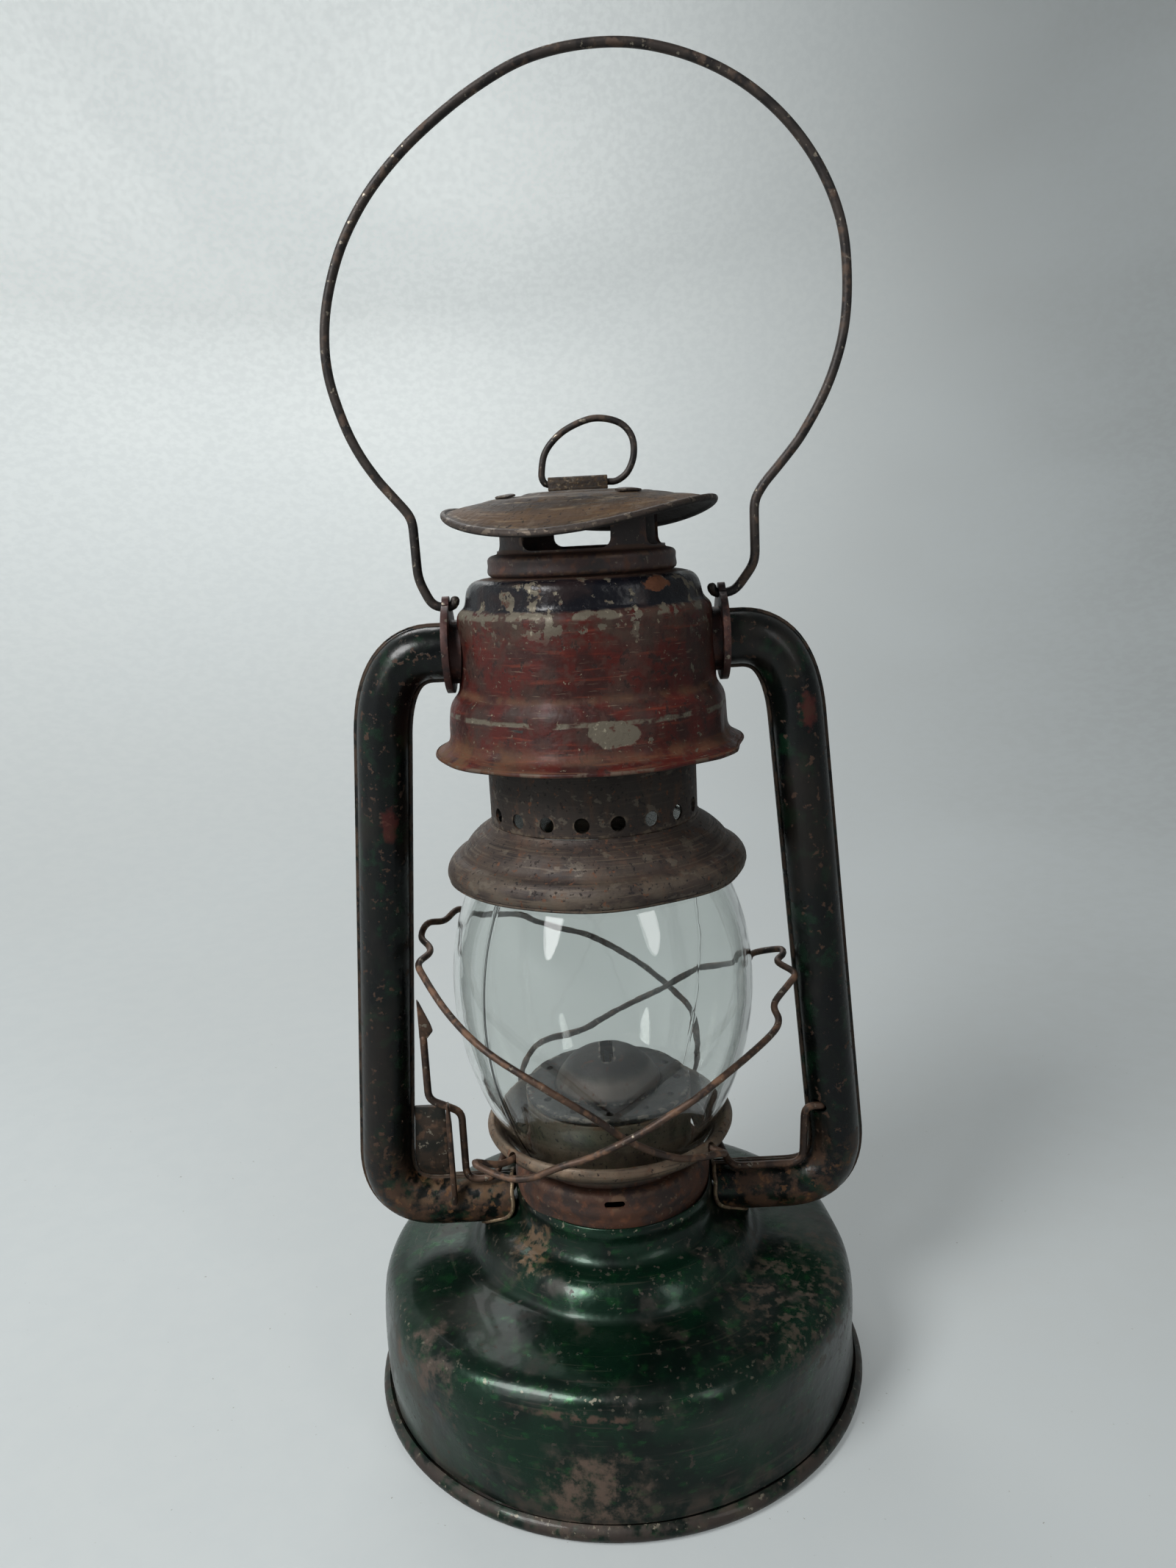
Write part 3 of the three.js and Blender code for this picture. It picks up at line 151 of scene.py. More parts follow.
def resample(line, step):
    """The same line with points that lie step apart."""
    spans = np.linalg.norm(np.diff(line, axis=0), axis=1)
    along = np.concatenate([[0], np.cumsum(spans)])
    even = np.linspace(0, along[-1], max(2, round(along[-1] / step)) + 1)
    return np.stack([np.interp(even, along, line[:, k]) for k in range(line.shape[1])], axis=1)


def soften(line, rounds):
    """Rounds the corners of a line; its ends stay."""
    line = line.copy()
    for _ in range(rounds):
        line[1:-1] = (line[:-2] + 2 * line[1:-1] + line[2:]) / 4
    return line


def outline(sections, step=1.2, rounds=2):
    """One even line through sections of points; sections of three or more are smooth curves."""
    parts = []
    for section in sections:
        part = catmull(section) if len(section) > 2 else np.array(section, float)
        parts.append(part if not parts else part[1:])
    return soften(resample(np.vstack(parts), step), rounds)


def shortened(line, start, end):
    """The line with a length taken off each end."""
    spans = np.linalg.norm(np.diff(line, axis=0), axis=1)
    along = np.concatenate([[0], np.cumsum(spans)])
    inner = along[(along > start) & (along < along[-1] - end)]
    places = np.concatenate([[start], inner, [along[-1] - end]])
    return np.stack([np.interp(places, along, line[:, k]) for k in range(line.shape[1])], axis=1)


def tangents(line):
    direction = np.gradient(line, axis=0)
    return direction / np.linalg.norm(direction, axis=1)[:, None]


def bent(points, leg, steps=5):
    """Straight runs between the points with a smooth bend of that leg at each corner."""
    points = [np.array(p, float) for p in points]
    line = [points[0]]
    for before, corner, after in zip(points, points[1:], points[2:]):
        back, ahead = before - corner, after - corner
        reach = min(leg, np.linalg.norm(back) / 2.1, np.linalg.norm(ahead) / 2.1)
        start = corner + back / np.linalg.norm(back) * reach
        end = corner + ahead / np.linalg.norm(ahead) * reach
        for k in range(steps + 1):
            t = k / steps
            line.append((1 - t) ** 2 * start + 2 * t * (1 - t) * corner + t ** 2 * end)
    line.append(points[-1])
    return np.array(line)


def arc_points(middle, radius, start, end, steps):
    angles = np.radians(np.linspace(start, end, steps + 1))
    return np.stack([middle[0] + radius * np.cos(angles), middle[1] + radius * np.sin(angles)], axis=1)


def disc(middle, radius, sides=24):
    """Outline of a round hole."""
    return arc_points(middle, radius, 0, 360 - 360 / sides, sides - 1)


def sideways(along):
    """The direction at the left of each direction of a line in a plane."""
    return np.stack([-along[:, 1], along[:, 0]], axis=1)


def edge_round(end, away, across, half, roll):
    """Points round a sheet's edge at end, from +across to -across. away points off the sheet."""
    roll = max(roll, half)
    middle = end - away * roll
    reach, steps = (math.pi - math.asin(half / roll), 14) if roll > half else (math.pi / 2, 6)
    angles = np.linspace(reach, -reach, steps + 1)
    return [middle + roll * (math.cos(a) * away + math.sin(a) * across) for a in angles]


def sheet_loop(outside, thickness=SHEET, start_roll=0, end_roll=0, to_axis=False):
    """Closed loop round a bent sheet, given its outside. Its inside is at the line's left.

    Each edge is rounded, or rolled to a bead of that radius. With to_axis the line ends there.
    """
    half = thickness / 2
    start_cut = max(start_roll, half)
    end_cut = 0 if to_axis else max(end_roll, half)
    middle = shortened(outside + half * sideways(tangents(outside)), start_cut, end_cut)
    along = tangents(middle)
    across = sideways(along)
    outer = middle - half * across
    inner = middle + half * across
    if to_axis:
        outer[-1, 0] = inner[-1, 0] = 0
        last = []
    else:
        end = middle[-1] + along[-1] * end_cut
        last = edge_round(end, along[-1], -across[-1], half, end_roll)
    start = middle[0] - along[0] * start_cut
    first = edge_round(start, -along[0], across[0], half, start_roll)
    return np.array([*outer, *last, *inner[::-1], *first])


# Shapes: points and faces, which are joined, made into meshes and then cut
AXIS_REACH = 1e-4


def strip(a, b):
    """Faces between two rings of points; a ring of one point is a tip."""
    count = max(len(a), len(b))
    if len(a) == len(b) == 1:
        return []
    if len(a) == 1:
        return [(a[0], b[(i + 1) % count], b[i]) for i in range(count)]
    if len(b) == 1:
        return [(a[i], a[(i + 1) % count], b[0]) for i in range(count)]
    return [(a[i], a[(i + 1) % count], b[(i + 1) % count], b[i]) for i in range(count)]


def revolved(loop, sides=WIDE, place=(0, 0, 0)):
    """A closed loop of (radius, height) turned about Z."""
    points, rings = [], []
    angles = np.linspace(0, 2 * math.pi, sides, endpoint=False)
    for radius, height in loop:
        first = len(points)
        if radius < AXIS_REACH:
            points.append((0, 0, height))
        else:
            points += [(radius * math.cos(a), radius * math.sin(a), height) for a in angles]
        rings.append(list(range(first, len(points))))
    faces = []
    for a, b in zip(rings, rings[1:] + rings[:1]):
        faces += strip(a, b)
    return moved((points, faces), place)


def lofted(rings, capped=True):
    """Faces between rings of equally many points; the two ends are closed."""
    points = [tuple(p) for ring in rings for p in ring]
    count = len(rings[0])
    index = [list(range(i * count, (i + 1) * count)) for i in range(len(rings))]
    faces = []
    for a, b in zip(index, index[1:]):
        faces += strip(a, b)
    if capped:
        faces += [tuple(reversed(index[0])), tuple(index[-1])]
    return points, faces


def carried_frames(line):
    """Two directions across a line in space at each point, carried along without twisting."""
    along = tangents(line)
    helper = np.array([0.0, 1.0, 0.0]) if abs(along[0][1]) < 0.9 else np.array([1.0, 0, 0])
    first = np.cross(along[0], helper)
    first /= np.linalg.norm(first)
    result = []
    for t in along:
        first = first - t * np.dot(first, t)
        first /= np.linalg.norm(first)
        result.append((first.copy(), np.cross(t, first)))
    return along, result


def wire_shape(line, width, sides=WIRE_SIDES, end_steps=3):
    """A round wire along a line, with rounded ends."""
    radius = width / 2
    line = shortened(np.array(line, float), radius, radius)
    along, across = carried_frames(line)
    turns = np.linspace(0, 2 * math.pi, sides, endpoint=False)

    def ring(middle, size, pair):
        return [middle + size * (math.cos(a) * pair[0] + math.sin(a) * pair[1]) for a in turns]

    rings = []
    for k in range(1, end_steps + 1):
        angle = math.pi / 2 * k / (end_steps + 1)
        middle = line[0] - along[0] * radius * math.cos(angle)
        rings.append(ring(middle, radius * math.sin(angle), across[0]))
    rings += [ring(p, radius, pair) for p, pair in zip(line, across)]
    for k in range(end_steps, 0, -1):
        angle = math.pi / 2 * k / (end_steps + 1)
        middle = line[-1] + along[-1] * radius * math.cos(angle)
        rings.append(ring(middle, radius * math.sin(angle), across[-1]))
    return lofted(rings)


def prism(polygon, low, high, axis="Z"):
    """A flat outline pushed along an axis. The outline lies in the other two axes, in order."""
    def at(a, b, c):
        return {"Z": (a, b, c), "Y": (a, c, b), "X": (c, a, b)}[axis]
    return lofted([[at(a, b, level) for a, b in polygon] for level in (low, high)])


def rounded_box(width, length, corner, steps=5):
    """Outline of a rectangle with round corners."""
    points = []
    for turn, (sx, sy) in enumerate([(1, 1), (-1, 1), (-1, -1), (1, -1)]):
        middle = (sx * (width / 2 - corner), sy * (length / 2 - corner))
        points += list(arc_points(middle, corner, 90 * turn, 90 * turn + 90, steps))
    return points


def joined(*shapes):
    points, faces = [], []
    for shape_points, shape_faces in shapes:
        first = len(points)
        points += list(shape_points)
        faces += [tuple(first + i for i in face) for face in shape_faces]
    return points, faces


def moved(shape, place=(0, 0, 0), turn=0):
    """The shape turned about Z by degrees and then moved."""
    matrix = Matrix.Translation(Vector(place)) @ Matrix.Rotation(math.radians(turn), 4, "Z")
    return [tuple(matrix @ Vector(p)) for p in shape[0]], shape[1]


def linked(name, data):
    """A new object in the scene."""
    obj = bpy.data.objects.new(name, data)
    bpy.context.collection.objects.link(obj)
    return obj


def plain_mesh(name, shape):
    mesh = bpy.data.meshes.new(name)
    mesh.from_pydata([tuple(Vector(p) * MM) for p in shape[0]], [], shape[1])
    return mesh


def new_object(name, shape):
    """A closed shape as an object, its faces turned outward."""
    mesh = plain_mesh(name, shape)
    solid = bmesh.new()
    solid.from_mesh(mesh)
    bmesh.ops.recalc_face_normals(solid, faces=solid.faces)
    solid.to_mesh(mesh)
    solid.free()
    return linked(name, mesh)


def settle(obj):
    """Applies the object's modifiers to its mesh."""
    graph = bpy.context.evaluated_depsgraph_get()
    mesh = bpy.data.meshes.new_from_object(obj.evaluated_get(graph))
    obj.modifiers.clear()
    obj.data = mesh


def cut(obj, tool_shape):
    """Takes the tool's shape out of the object."""
    tool = new_object(obj.name + "_tool", tool_shape)
    modifier = obj.modifiers.new("cut", "BOOLEAN")
    modifier.operation = "DIFFERENCE"
    modifier.solver = "EXACT"
    modifier.object = tool
    settle(obj)
    bpy.data.objects.remove(tool)


def cut_round(obj, hole, low, high, axis, turns):
    """Cuts the same hole, pushed along an axis, at each of the turns about Z."""
    cut(obj, joined(*(moved(prism(hole, low, high, axis), turn=turn) for turn in turns)))


def even_turns(count, first=0.0):
    """Evenly spread turns, in degrees."""
    return [first + 360 * i / count for i in range(count)]


def bevelled(obj, width, segments=2, angle=40):
    """Rounds the sharp edges of a flat piece."""
    modifier = obj.modifiers.new("bevel", "BEVEL")
    modifier.width = width * MM
    modifier.segments = segments
    modifier.limit_method = "ANGLE"
    modifier.angle_limit = math.radians(angle)
    settle(obj)
    return obj


def dented(obj, depth, size, seed):
    """Pushes the surface in and out a little, sideways, as handling does."""
    shift = Vector((seed * 7.3, seed * 3.1, seed * 5.7))
    for vertex in obj.data.vertices:
        out = Vector((vertex.co.x, vertex.co.y, 0))
        if out.length > MM:
            wave = noise.noise(vertex.co / (size * MM) + shift) - 0.15
            vertex.co += out.normalized() * min(wave, 0.1) * depth * MM


EDGE_CURVATURE = 520
SHARP_ANGLE = 38


def mark_edges(mesh, rounds=2):
    """Stores how far each point stands out, -1 in hollows to 1 on edges, for wear and dirt, and for painted
    shade in the fount's hollows.
    """
    count = len(mesh.vertices)
    place = np.empty(count * 3)
    mesh.vertices.foreach_get("co", place)
    place = place.reshape(-1, 3)
    normal = np.empty(count * 3)
    mesh.vertex_normals.foreach_get("vector", normal)
    normal = normal.reshape(-1, 3)
    edges = np.empty(len(mesh.edges) * 2, dtype=np.int32)
    mesh.edges.foreach_get("vertices", edges)
    a, b = edges.reshape(-1, 2).T
    span = place[b] - place[a]
    bend = ((normal[b] - normal[a]) * span).sum(1) / np.maximum((span ** 2).sum(1), 1e-10)
    degree = np.maximum(np.bincount(a, minlength=count) + np.bincount(b, minlength=count), 1)
    value = np.bincount(a, bend, count) + np.bincount(b, bend, count)
    value = np.clip(value / degree / EDGE_CURVATURE, -1, 1)
    for _ in range(rounds):
        around = np.bincount(a, value[b], count) + np.bincount(b, value[a], count)
        value = (value + around / degree) / 2
    layer = mesh.attributes.new("edge", "FLOAT", "POINT")
    layer.data.foreach_set("value", value.astype(np.float32))


def box_mm(node):
    """Low and high corner of a node of the model, in mm."""
    return [tuple(v / MM for v in corner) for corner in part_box(node)]


def round_box(node):
    """Radius, low and high end of a round node of the model."""
    low, high = box_mm(node)
    return (high[0] - low[0]) / 2, low[2], high[2]


def dress(obj, look, *nodes, body=None, sharp=SHARP_ANGLE, flat=False):
    """Finishes a piece: smooth shading, wear marks, its look, its body and its nodes.

    A flat piece of few points gets no wear marks, which would spread all over it.
    """
    material, slot = LOOKS[look]
    mesh = obj.data
    mesh.shade_smooth()
    mesh.set_sharp_from_angle(angle=math.radians(sharp))
    if not flat:
        mark_edges(mesh)
    mesh.materials.clear()
    mesh.materials.append(material)
    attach(obj, body or body_of(frame["nodes"][nodes[0]])[0])
    if nodes:
        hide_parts(*nodes)


# Materials: layers of colour, roughness, metal and height over each other, in object space
def srgb(red, green, blue):
    """Linear colour of an sRGB triple of 0 to 255."""
    def linear(value):
        share = value / 255
        return share / 12.92 if share <= 0.04045 else ((share + 0.055) / 1.055) ** 2.4
    return linear(red), linear(green), linear(blue), 1


STREAK_RADIUS = 40


class Surface:
    """A material put together in layers."""

    def __init__(self, name, colour, rough, metal=0.0):
        self.material = bpy.data.materials.new(name)
        self.material.use_nodes = True
        self.tree = self.material.node_tree
        self.tree.nodes.clear()
        self.shader = self.node("ShaderNodeBsdfPrincipled")
        output = self.node("ShaderNodeOutputMaterial")
        self.tree.links.new(self.shader.outputs[0], output.inputs["Surface"])
        coordinates = self.node("ShaderNodeTexCoord")
        self.place = coordinates.outputs["Object"]
        self.normal = coordinates.outputs["Normal"]
        self.colour = srgb(*colour)
        self.rough = rough
        self.metal = metal
        self.height = 0.0

    def node(self, kind, **settings):
        node = self.tree.nodes.new(kind)
        for key, value in settings.items():
            setattr(node, key, value)
        return node

    def feed(self, socket, value):
        if isinstance(value, bpy.types.NodeSocket):
            self.tree.links.new(value, socket)
        else:
            socket.default_value = value

    def math(self, operation, a, b=0.0):
        node = self.node("ShaderNodeMath", operation=operation)
        self.feed(node.inputs[0], a)
        self.feed(node.inputs[1], b)
        return node.outputs[0]

    def axis(self, name, source=None):
        node = self.node("ShaderNodeSeparateXYZ")
        self.feed(node.inputs[0], source or self.place)
        return node.outputs[name]

    def level(self):
        """Height above the floor in mm."""
        return self.math("MULTIPLY", self.axis("Z"), 1 / MM)

    def radius(self):
        """Distance from the lantern's axis in mm."""
        x, y = self.axis("X"), self.axis("Y")
        total = self.math("ADD", self.math("MULTIPLY", x, x), self.math("MULTIPLY", y, y))
        return self.math("MULTIPLY", self.math("SQRT", total), 1 / MM)

    def upward(self):
        return self.axis("Z", self.normal)

    def edge(self):
        return self.node("ShaderNodeAttribute", attribute_name="edge").outputs["Fac"]

    def attribute(self, name):
        return self.node("ShaderNodeAttribute", attribute_name=name).outputs["Fac"]

    def stretched(self, stretch, shift):
        """Object coordinates squeezed by a factor along each axis and moved."""
        node = self.node("ShaderNodeMapping")
        self.feed(node.inputs["Vector"], self.place)
        node.inputs["Scale"].default_value = stretch
        node.inputs["Location"].default_value = shift
        return node.outputs[0]

    def noise(self, size, detail=3.0, rough=0.55, warp=0.0, stretch=(1, 1, 1), seed=0):
        """Cloudy noise of 0 to 1 whose patches are about size mm."""
        node = self.node("ShaderNodeTexNoise")
        self.feed(node.inputs["Vector"], self.stretched(stretch, (seed * 1.7, seed * 0.9, seed)))
        node.inputs["Scale"].default_value = 1 / (size * MM)
        node.inputs["Detail"].default_value = detail
        node.inputs["Roughness"].default_value = rough
        node.inputs["Distortion"].default_value = warp
        return node.outputs[0]

    def streaks(self, width, length, low, high, seed=0, detail=4.0):
        """Patches drawn out round the axis, width mm across and length mm long at STREAK_RADIUS."""
        turn = self.math("ARCTAN2", self.axis("Y"), self.axis("X"))
        node = self.node("ShaderNodeCombineXYZ")
        self.feed(node.inputs[0], self.math("MULTIPLY", self.radius(), 1 / width))
        self.feed(node.inputs[1], self.math("MULTIPLY", turn, STREAK_RADIUS / length))
        self.feed(node.inputs[2], self.math("MULTIPLY", self.level(), 1 / width))
        wave = self.node("ShaderNodeTexNoise", noise_dimensions="4D")
        self.feed(wave.inputs["Vector"], node.outputs[0])
        wave.inputs["W"].default_value = seed
        wave.inputs["Scale"].default_value = 1.0
        wave.inputs["Detail"].default_value = detail
        return self.band(wave.outputs[0], low, high)

    def band(self, value, low, high, invert=False):
        """0 below low, 1 above high and smooth between, or the other way round."""
        node = self.node("ShaderNodeMapRange", interpolation_type="SMOOTHSTEP")
        self.feed(node.inputs["Value"], value)
        node.inputs["From Min"].default_value = low
        node.inputs["From Max"].default_value = high
        node.inputs["To Min"].default_value = 1.0 if invert else 0.0
        node.inputs["To Max"].default_value = 0.0 if invert else 1.0
        return node.outputs[0]

    def patches(self, size, low, high, **noise_settings):
        return self.band(self.noise(size, **noise_settings), low, high)

    def ragged(self, value, amount, size, seed=0):
        """value moved up and down by noise."""
        wave = self.math("SUBTRACT", self.noise(size, detail=5, seed=seed), 0.5)
        return self.math("ADD", value, self.math("MULTIPLY", wave, 2 * amount))

    def spot(self, middle, reach, soft=0.35, seed=0, size=5, amount=0.9):
        """A ragged spot round a point; reach gives its half sizes along X, Y and Z."""
        node = self.node("ShaderNodeMapping")
        node.vector_type = "TEXTURE"
        self.feed(node.inputs["Vector"], self.place)
        node.inputs["Location"].default_value = tuple(v * MM for v in middle)
        node.inputs["Scale"].default_value = tuple(v * MM for v in reach)
        length = self.node("ShaderNodeVectorMath", operation="LENGTH")
        self.feed(length.inputs[0], node.outputs[0])
        rough = self.ragged(length.outputs["Value"], amount, size, seed)
        return self.band(rough, 1 - soft, 1 + soft, invert=True)

    def patchy(self, mask, *patch, **noise_settings):
        """The part of a mask that lies in patches."""
        return self.both(mask, self.patches(*patch, **noise_settings))

    def both(self, *masks):
        result = masks[0]
        for mask in masks[1:]:
            result = self.math("MULTIPLY", result, mask)
        return result

    def either(self, *masks):
        result = masks[0]
        for mask in masks[1:]:
            result = self.math("MAXIMUM", result, mask)
        return result

    def blend(self, kind, share, a, b):
        """a with a share of b. The node's sockets are named by number, as their names repeat."""
        node = self.node("ShaderNodeMix", data_type=kind)
        first, second, out = (6, 7, 2) if kind == "RGBA" else (2, 3, 0)
        self.feed(node.inputs[0], share)
        self.feed(node.inputs[first], a)
        self.feed(node.inputs[second], b)
        return node.outputs[out]

    def layer(self, mask, colour=None, rough=None, metal=None, height=None, strength=1.0):
        """Lays a colour and finish over what is there, where the mask is 1."""
        if strength != 1.0:
            mask = self.math("MULTIPLY", mask, strength)
        if colour is not None:
            self.colour = self.blend("RGBA", mask, self.colour, srgb(*colour))
        if rough is not None:
            self.rough = self.blend("FLOAT", mask, self.rough, rough)
        if metal is not None:
            self.metal = self.blend("FLOAT", mask, self.metal, metal)
        if height is not None:
            self.raise_by(mask, height)

    def raise_by(self, mask, height):
        """Adds to the bump, in mm."""
        self.height = self.math("ADD", self.height, self.math("MULTIPLY", mask, height))

    def grain(self, size, height, **noise_settings):
        """Adds cloudy bumps, size mm across and height mm high."""
        self.raise_by(self.noise(size, **noise_settings), height)

    def worn(self, low, high, size, *patch, detail=5, seed=0):
        """Patches on the edges that stand out by low to high."""
        return self.both(self.band(self.edge(), low, high),
                         self.patches(size, *patch, detail=detail, seed=seed))

    def hollow(self, low, high):
        """1 in hollows deeper than low, 0 where the surface lies less deep than high."""
        return self.band(self.edge(), low, high, invert=True)

    def finish(self, coat=0.0, coat_rough=0.2, specular=0.5, bump=1.0):
        shader = self.shader
        self.feed(shader.inputs["Base Color"], self.colour)
        self.feed(shader.inputs["Roughness"], self.rough)
        self.feed(shader.inputs["Metallic"], self.metal)
        shader.inputs["Coat Weight"].default_value = coat
        shader.inputs["Coat Roughness"].default_value = coat_rough
        shader.inputs["Specular IOR Level"].default_value = specular
        node = self.node("ShaderNodeBump")
        node.inputs["Strength"].default_value = bump
        node.inputs["Distance"].default_value = MM
        self.feed(node.inputs["Height"], self.height)
        self.feed(shader.inputs["Normal"], node.outputs[0])
        return self.material


# Colour of the painted shade on faces that point down
UNDERSIDE_SHADE = (30, 26, 25)


def green_fount():
    """Dark translucent green over bright tin, rusty in spots and at the foot."""
    s = Surface("green_fount", (11, 38, 25), 0.27, 0.6)
    s.layer(s.patches(26, 0.4, 0.6, warp=0.6), (7, 21, 16), 0.3)
    s.layer(s.patches(5, 0.55, 0.7, detail=6, stretch=(1, 1, 2)), (25, 74, 36), 0.24, strength=0.45)
    s.layer(s.patches(40, 0.5, 0.68, seed=3, stretch=(1, 1, 1.6)), (33, 37, 31), 0.5, 0.1, strength=0.6)
    s.layer(s.streaks(1.2, 15, 0.6, 0.68, seed=31), (62, 51, 42), 0.65, 0.05, strength=0.25)
    right = s.spot((60, -42, 48), (24, 34, 14), soft=0.6, seed=32, size=9, amount=1.1)
    s.layer(s.patchy(right, 4, 0.48, 0.6, detail=7, seed=33, rough=0.65), (64, 51, 42),
            0.72, 0.05, strength=0.7)
    joint = s.spot((-28, -26, 62), (7, 10, 7), soft=0.4, seed=35, size=4, amount=1.1)
    s.layer(s.patchy(joint, 3, 0.42, 0.56, detail=6, seed=36), (94, 73, 52), 0.78, 0.05,
            0.05, strength=0.85)
    line = s.spot((-12, -80, 40.6), (19, 16, 1.1), soft=0.5, seed=34, size=3, amount=1.1)
    s.layer(s.patchy(line, 3, 0.4, 0.54, detail=5, seed=37), (74, 54, 44), 0.72, 0.05, strength=0.75)
    s.layer(s.patches(12, 0.55, 0.7, detail=6, seed=21), (40, 33, 28), 0.6, 0.0, strength=0.6)
    s.layer(s.patches(2.4, 0.63, 0.67, detail=6, seed=5), (52, 43, 36), 0.75, 0.0, 0.02, strength=0.7)
    low = s.band(s.ragged(s.level(), 9, 12, 4), 2, 17, invert=True)
    s.layer(s.patchy(low, 8, 0.44, 0.6, detail=5, seed=6), (58, 47, 39), 0.72, 0.05, strength=0.85)
    front = s.spot((-9, -84, 15), (18, 20, 13), seed=7, size=9, amount=1.3)
    s.layer(s.patchy(front, 6, 0.4, 0.62, detail=8, seed=8, rough=0.7), (76, 62, 52), 0.7, 0.1, 0.03)
    side = s.spot((-62, -52, 38), (16, 16, 9), seed=17, size=8, amount=1.3)
    s.layer(s.patchy(side, 7, 0.42, 0.62, detail=8, seed=18, rough=0.7), (66, 55, 47), 0.7, 0.1)
    ridge = s.band(s.edge(), 0.05, 0.22)
    s.layer(s.patchy(ridge, 2.2, 0.61, 0.67, detail=5, seed=9), (112, 106, 92), 0.5, 0.4)
    # painted shade: darker green in the hollows and creases
    s.layer(s.hollow(-0.3, -0.03), (10, 17, 13), 0.6, strength=0.6)
    foot = s.band(s.level(), 4.6, 6.4, invert=True)
    s.layer(s.patchy(foot, 5, 0.38, 0.6, detail=5, seed=19), (42, 34, 29), 0.65, 0.2)
    s.grain(1.6, 0.04, detail=4, seed=11)
    s.grain(14, 0.5, seed=12)
    return s.finish(coat=0.1, coat_rough=0.08, specular=0.38)


def green_tube():
    """Nearly black green, rusty on the low arms."""
    s = Surface("green_tube", (6, 10, 8), 0.28, 0.1)
    s.layer(s.patches(14, 0.46, 0.6, warp=0.5), (5, 7, 8), 0.26)
    s.layer(s.patches(7, 0.52, 0.66, detail=5, seed=2), (12, 36, 22), 0.26, strength=0.65)
    haze = s.patches(20, 0.5, 0.66, seed=3, stretch=(1, 1, 0.4), detail=5)
    s.layer(haze, (31, 26, 22), 0.5, 0.05, strength=0.55)
    s.layer(s.patches(2.4, 0.61, 0.66, detail=6, seed=4), (58, 43, 34), 0.75, 0.0, 0.03)
    low = s.band(s.ragged(s.level(), 14, 10, 5), 66, 98, invert=True)
    s.layer(s.patchy(low, 7, 0.45, 0.6, detail=7, seed=6, rough=0.65), (64, 46, 34), 0.78, 0.0, 0.04)
    s.layer(s.patchy(low, 3, 0.57, 0.65, detail=6, seed=16), (100, 70, 44), 0.85, strength=0.6)
    s.layer(s.patchy(low, 5, 0.56, 0.66, detail=6, seed=26), (14, 34, 21), 0.3, strength=0.7)
    under = s.spot((-53, -7, 71.5), (17, 9, 3.2), soft=0.5, seed=27, size=5, amount=0.8)
    s.layer(s.patchy(under, 4, 0.44, 0.6, detail=6, seed=28), (90, 69, 49), 0.8, 0.0, 0.04, strength=0.75)
    seam = s.band(s.attribute("seam"), 0.4, 0.8)
    s.layer(s.patchy(seam, 4, 0.4, 0.58, detail=5, seed=7), (58, 46, 37), 0.66, 0.2)
    left = s.spot((-67, -8, 206), (2.4, 5, 5), seed=8, size=3, amount=1.2)
    right = s.spot((70, -8, 236), (3, 5, 5), seed=9, size=3, amount=1.2)
    s.layer(s.either(left, right), (70, 27, 23), 0.5, 0.0, strength=0.6)
    s.layer(s.worn(0.3, 0.6, 3, 0.5, 0.58, seed=10), (70, 61, 51), 0.45, 0.5)
    s.grain(1.8, 0.05, detail=4, seed=11)
    s.grain(16, 0.6, seed=12)
    return s.finish(coat=0.06, coat_rough=0.1, specular=0.2)


BAND_FOOT = 273.4
BAND_TOP = 281.8


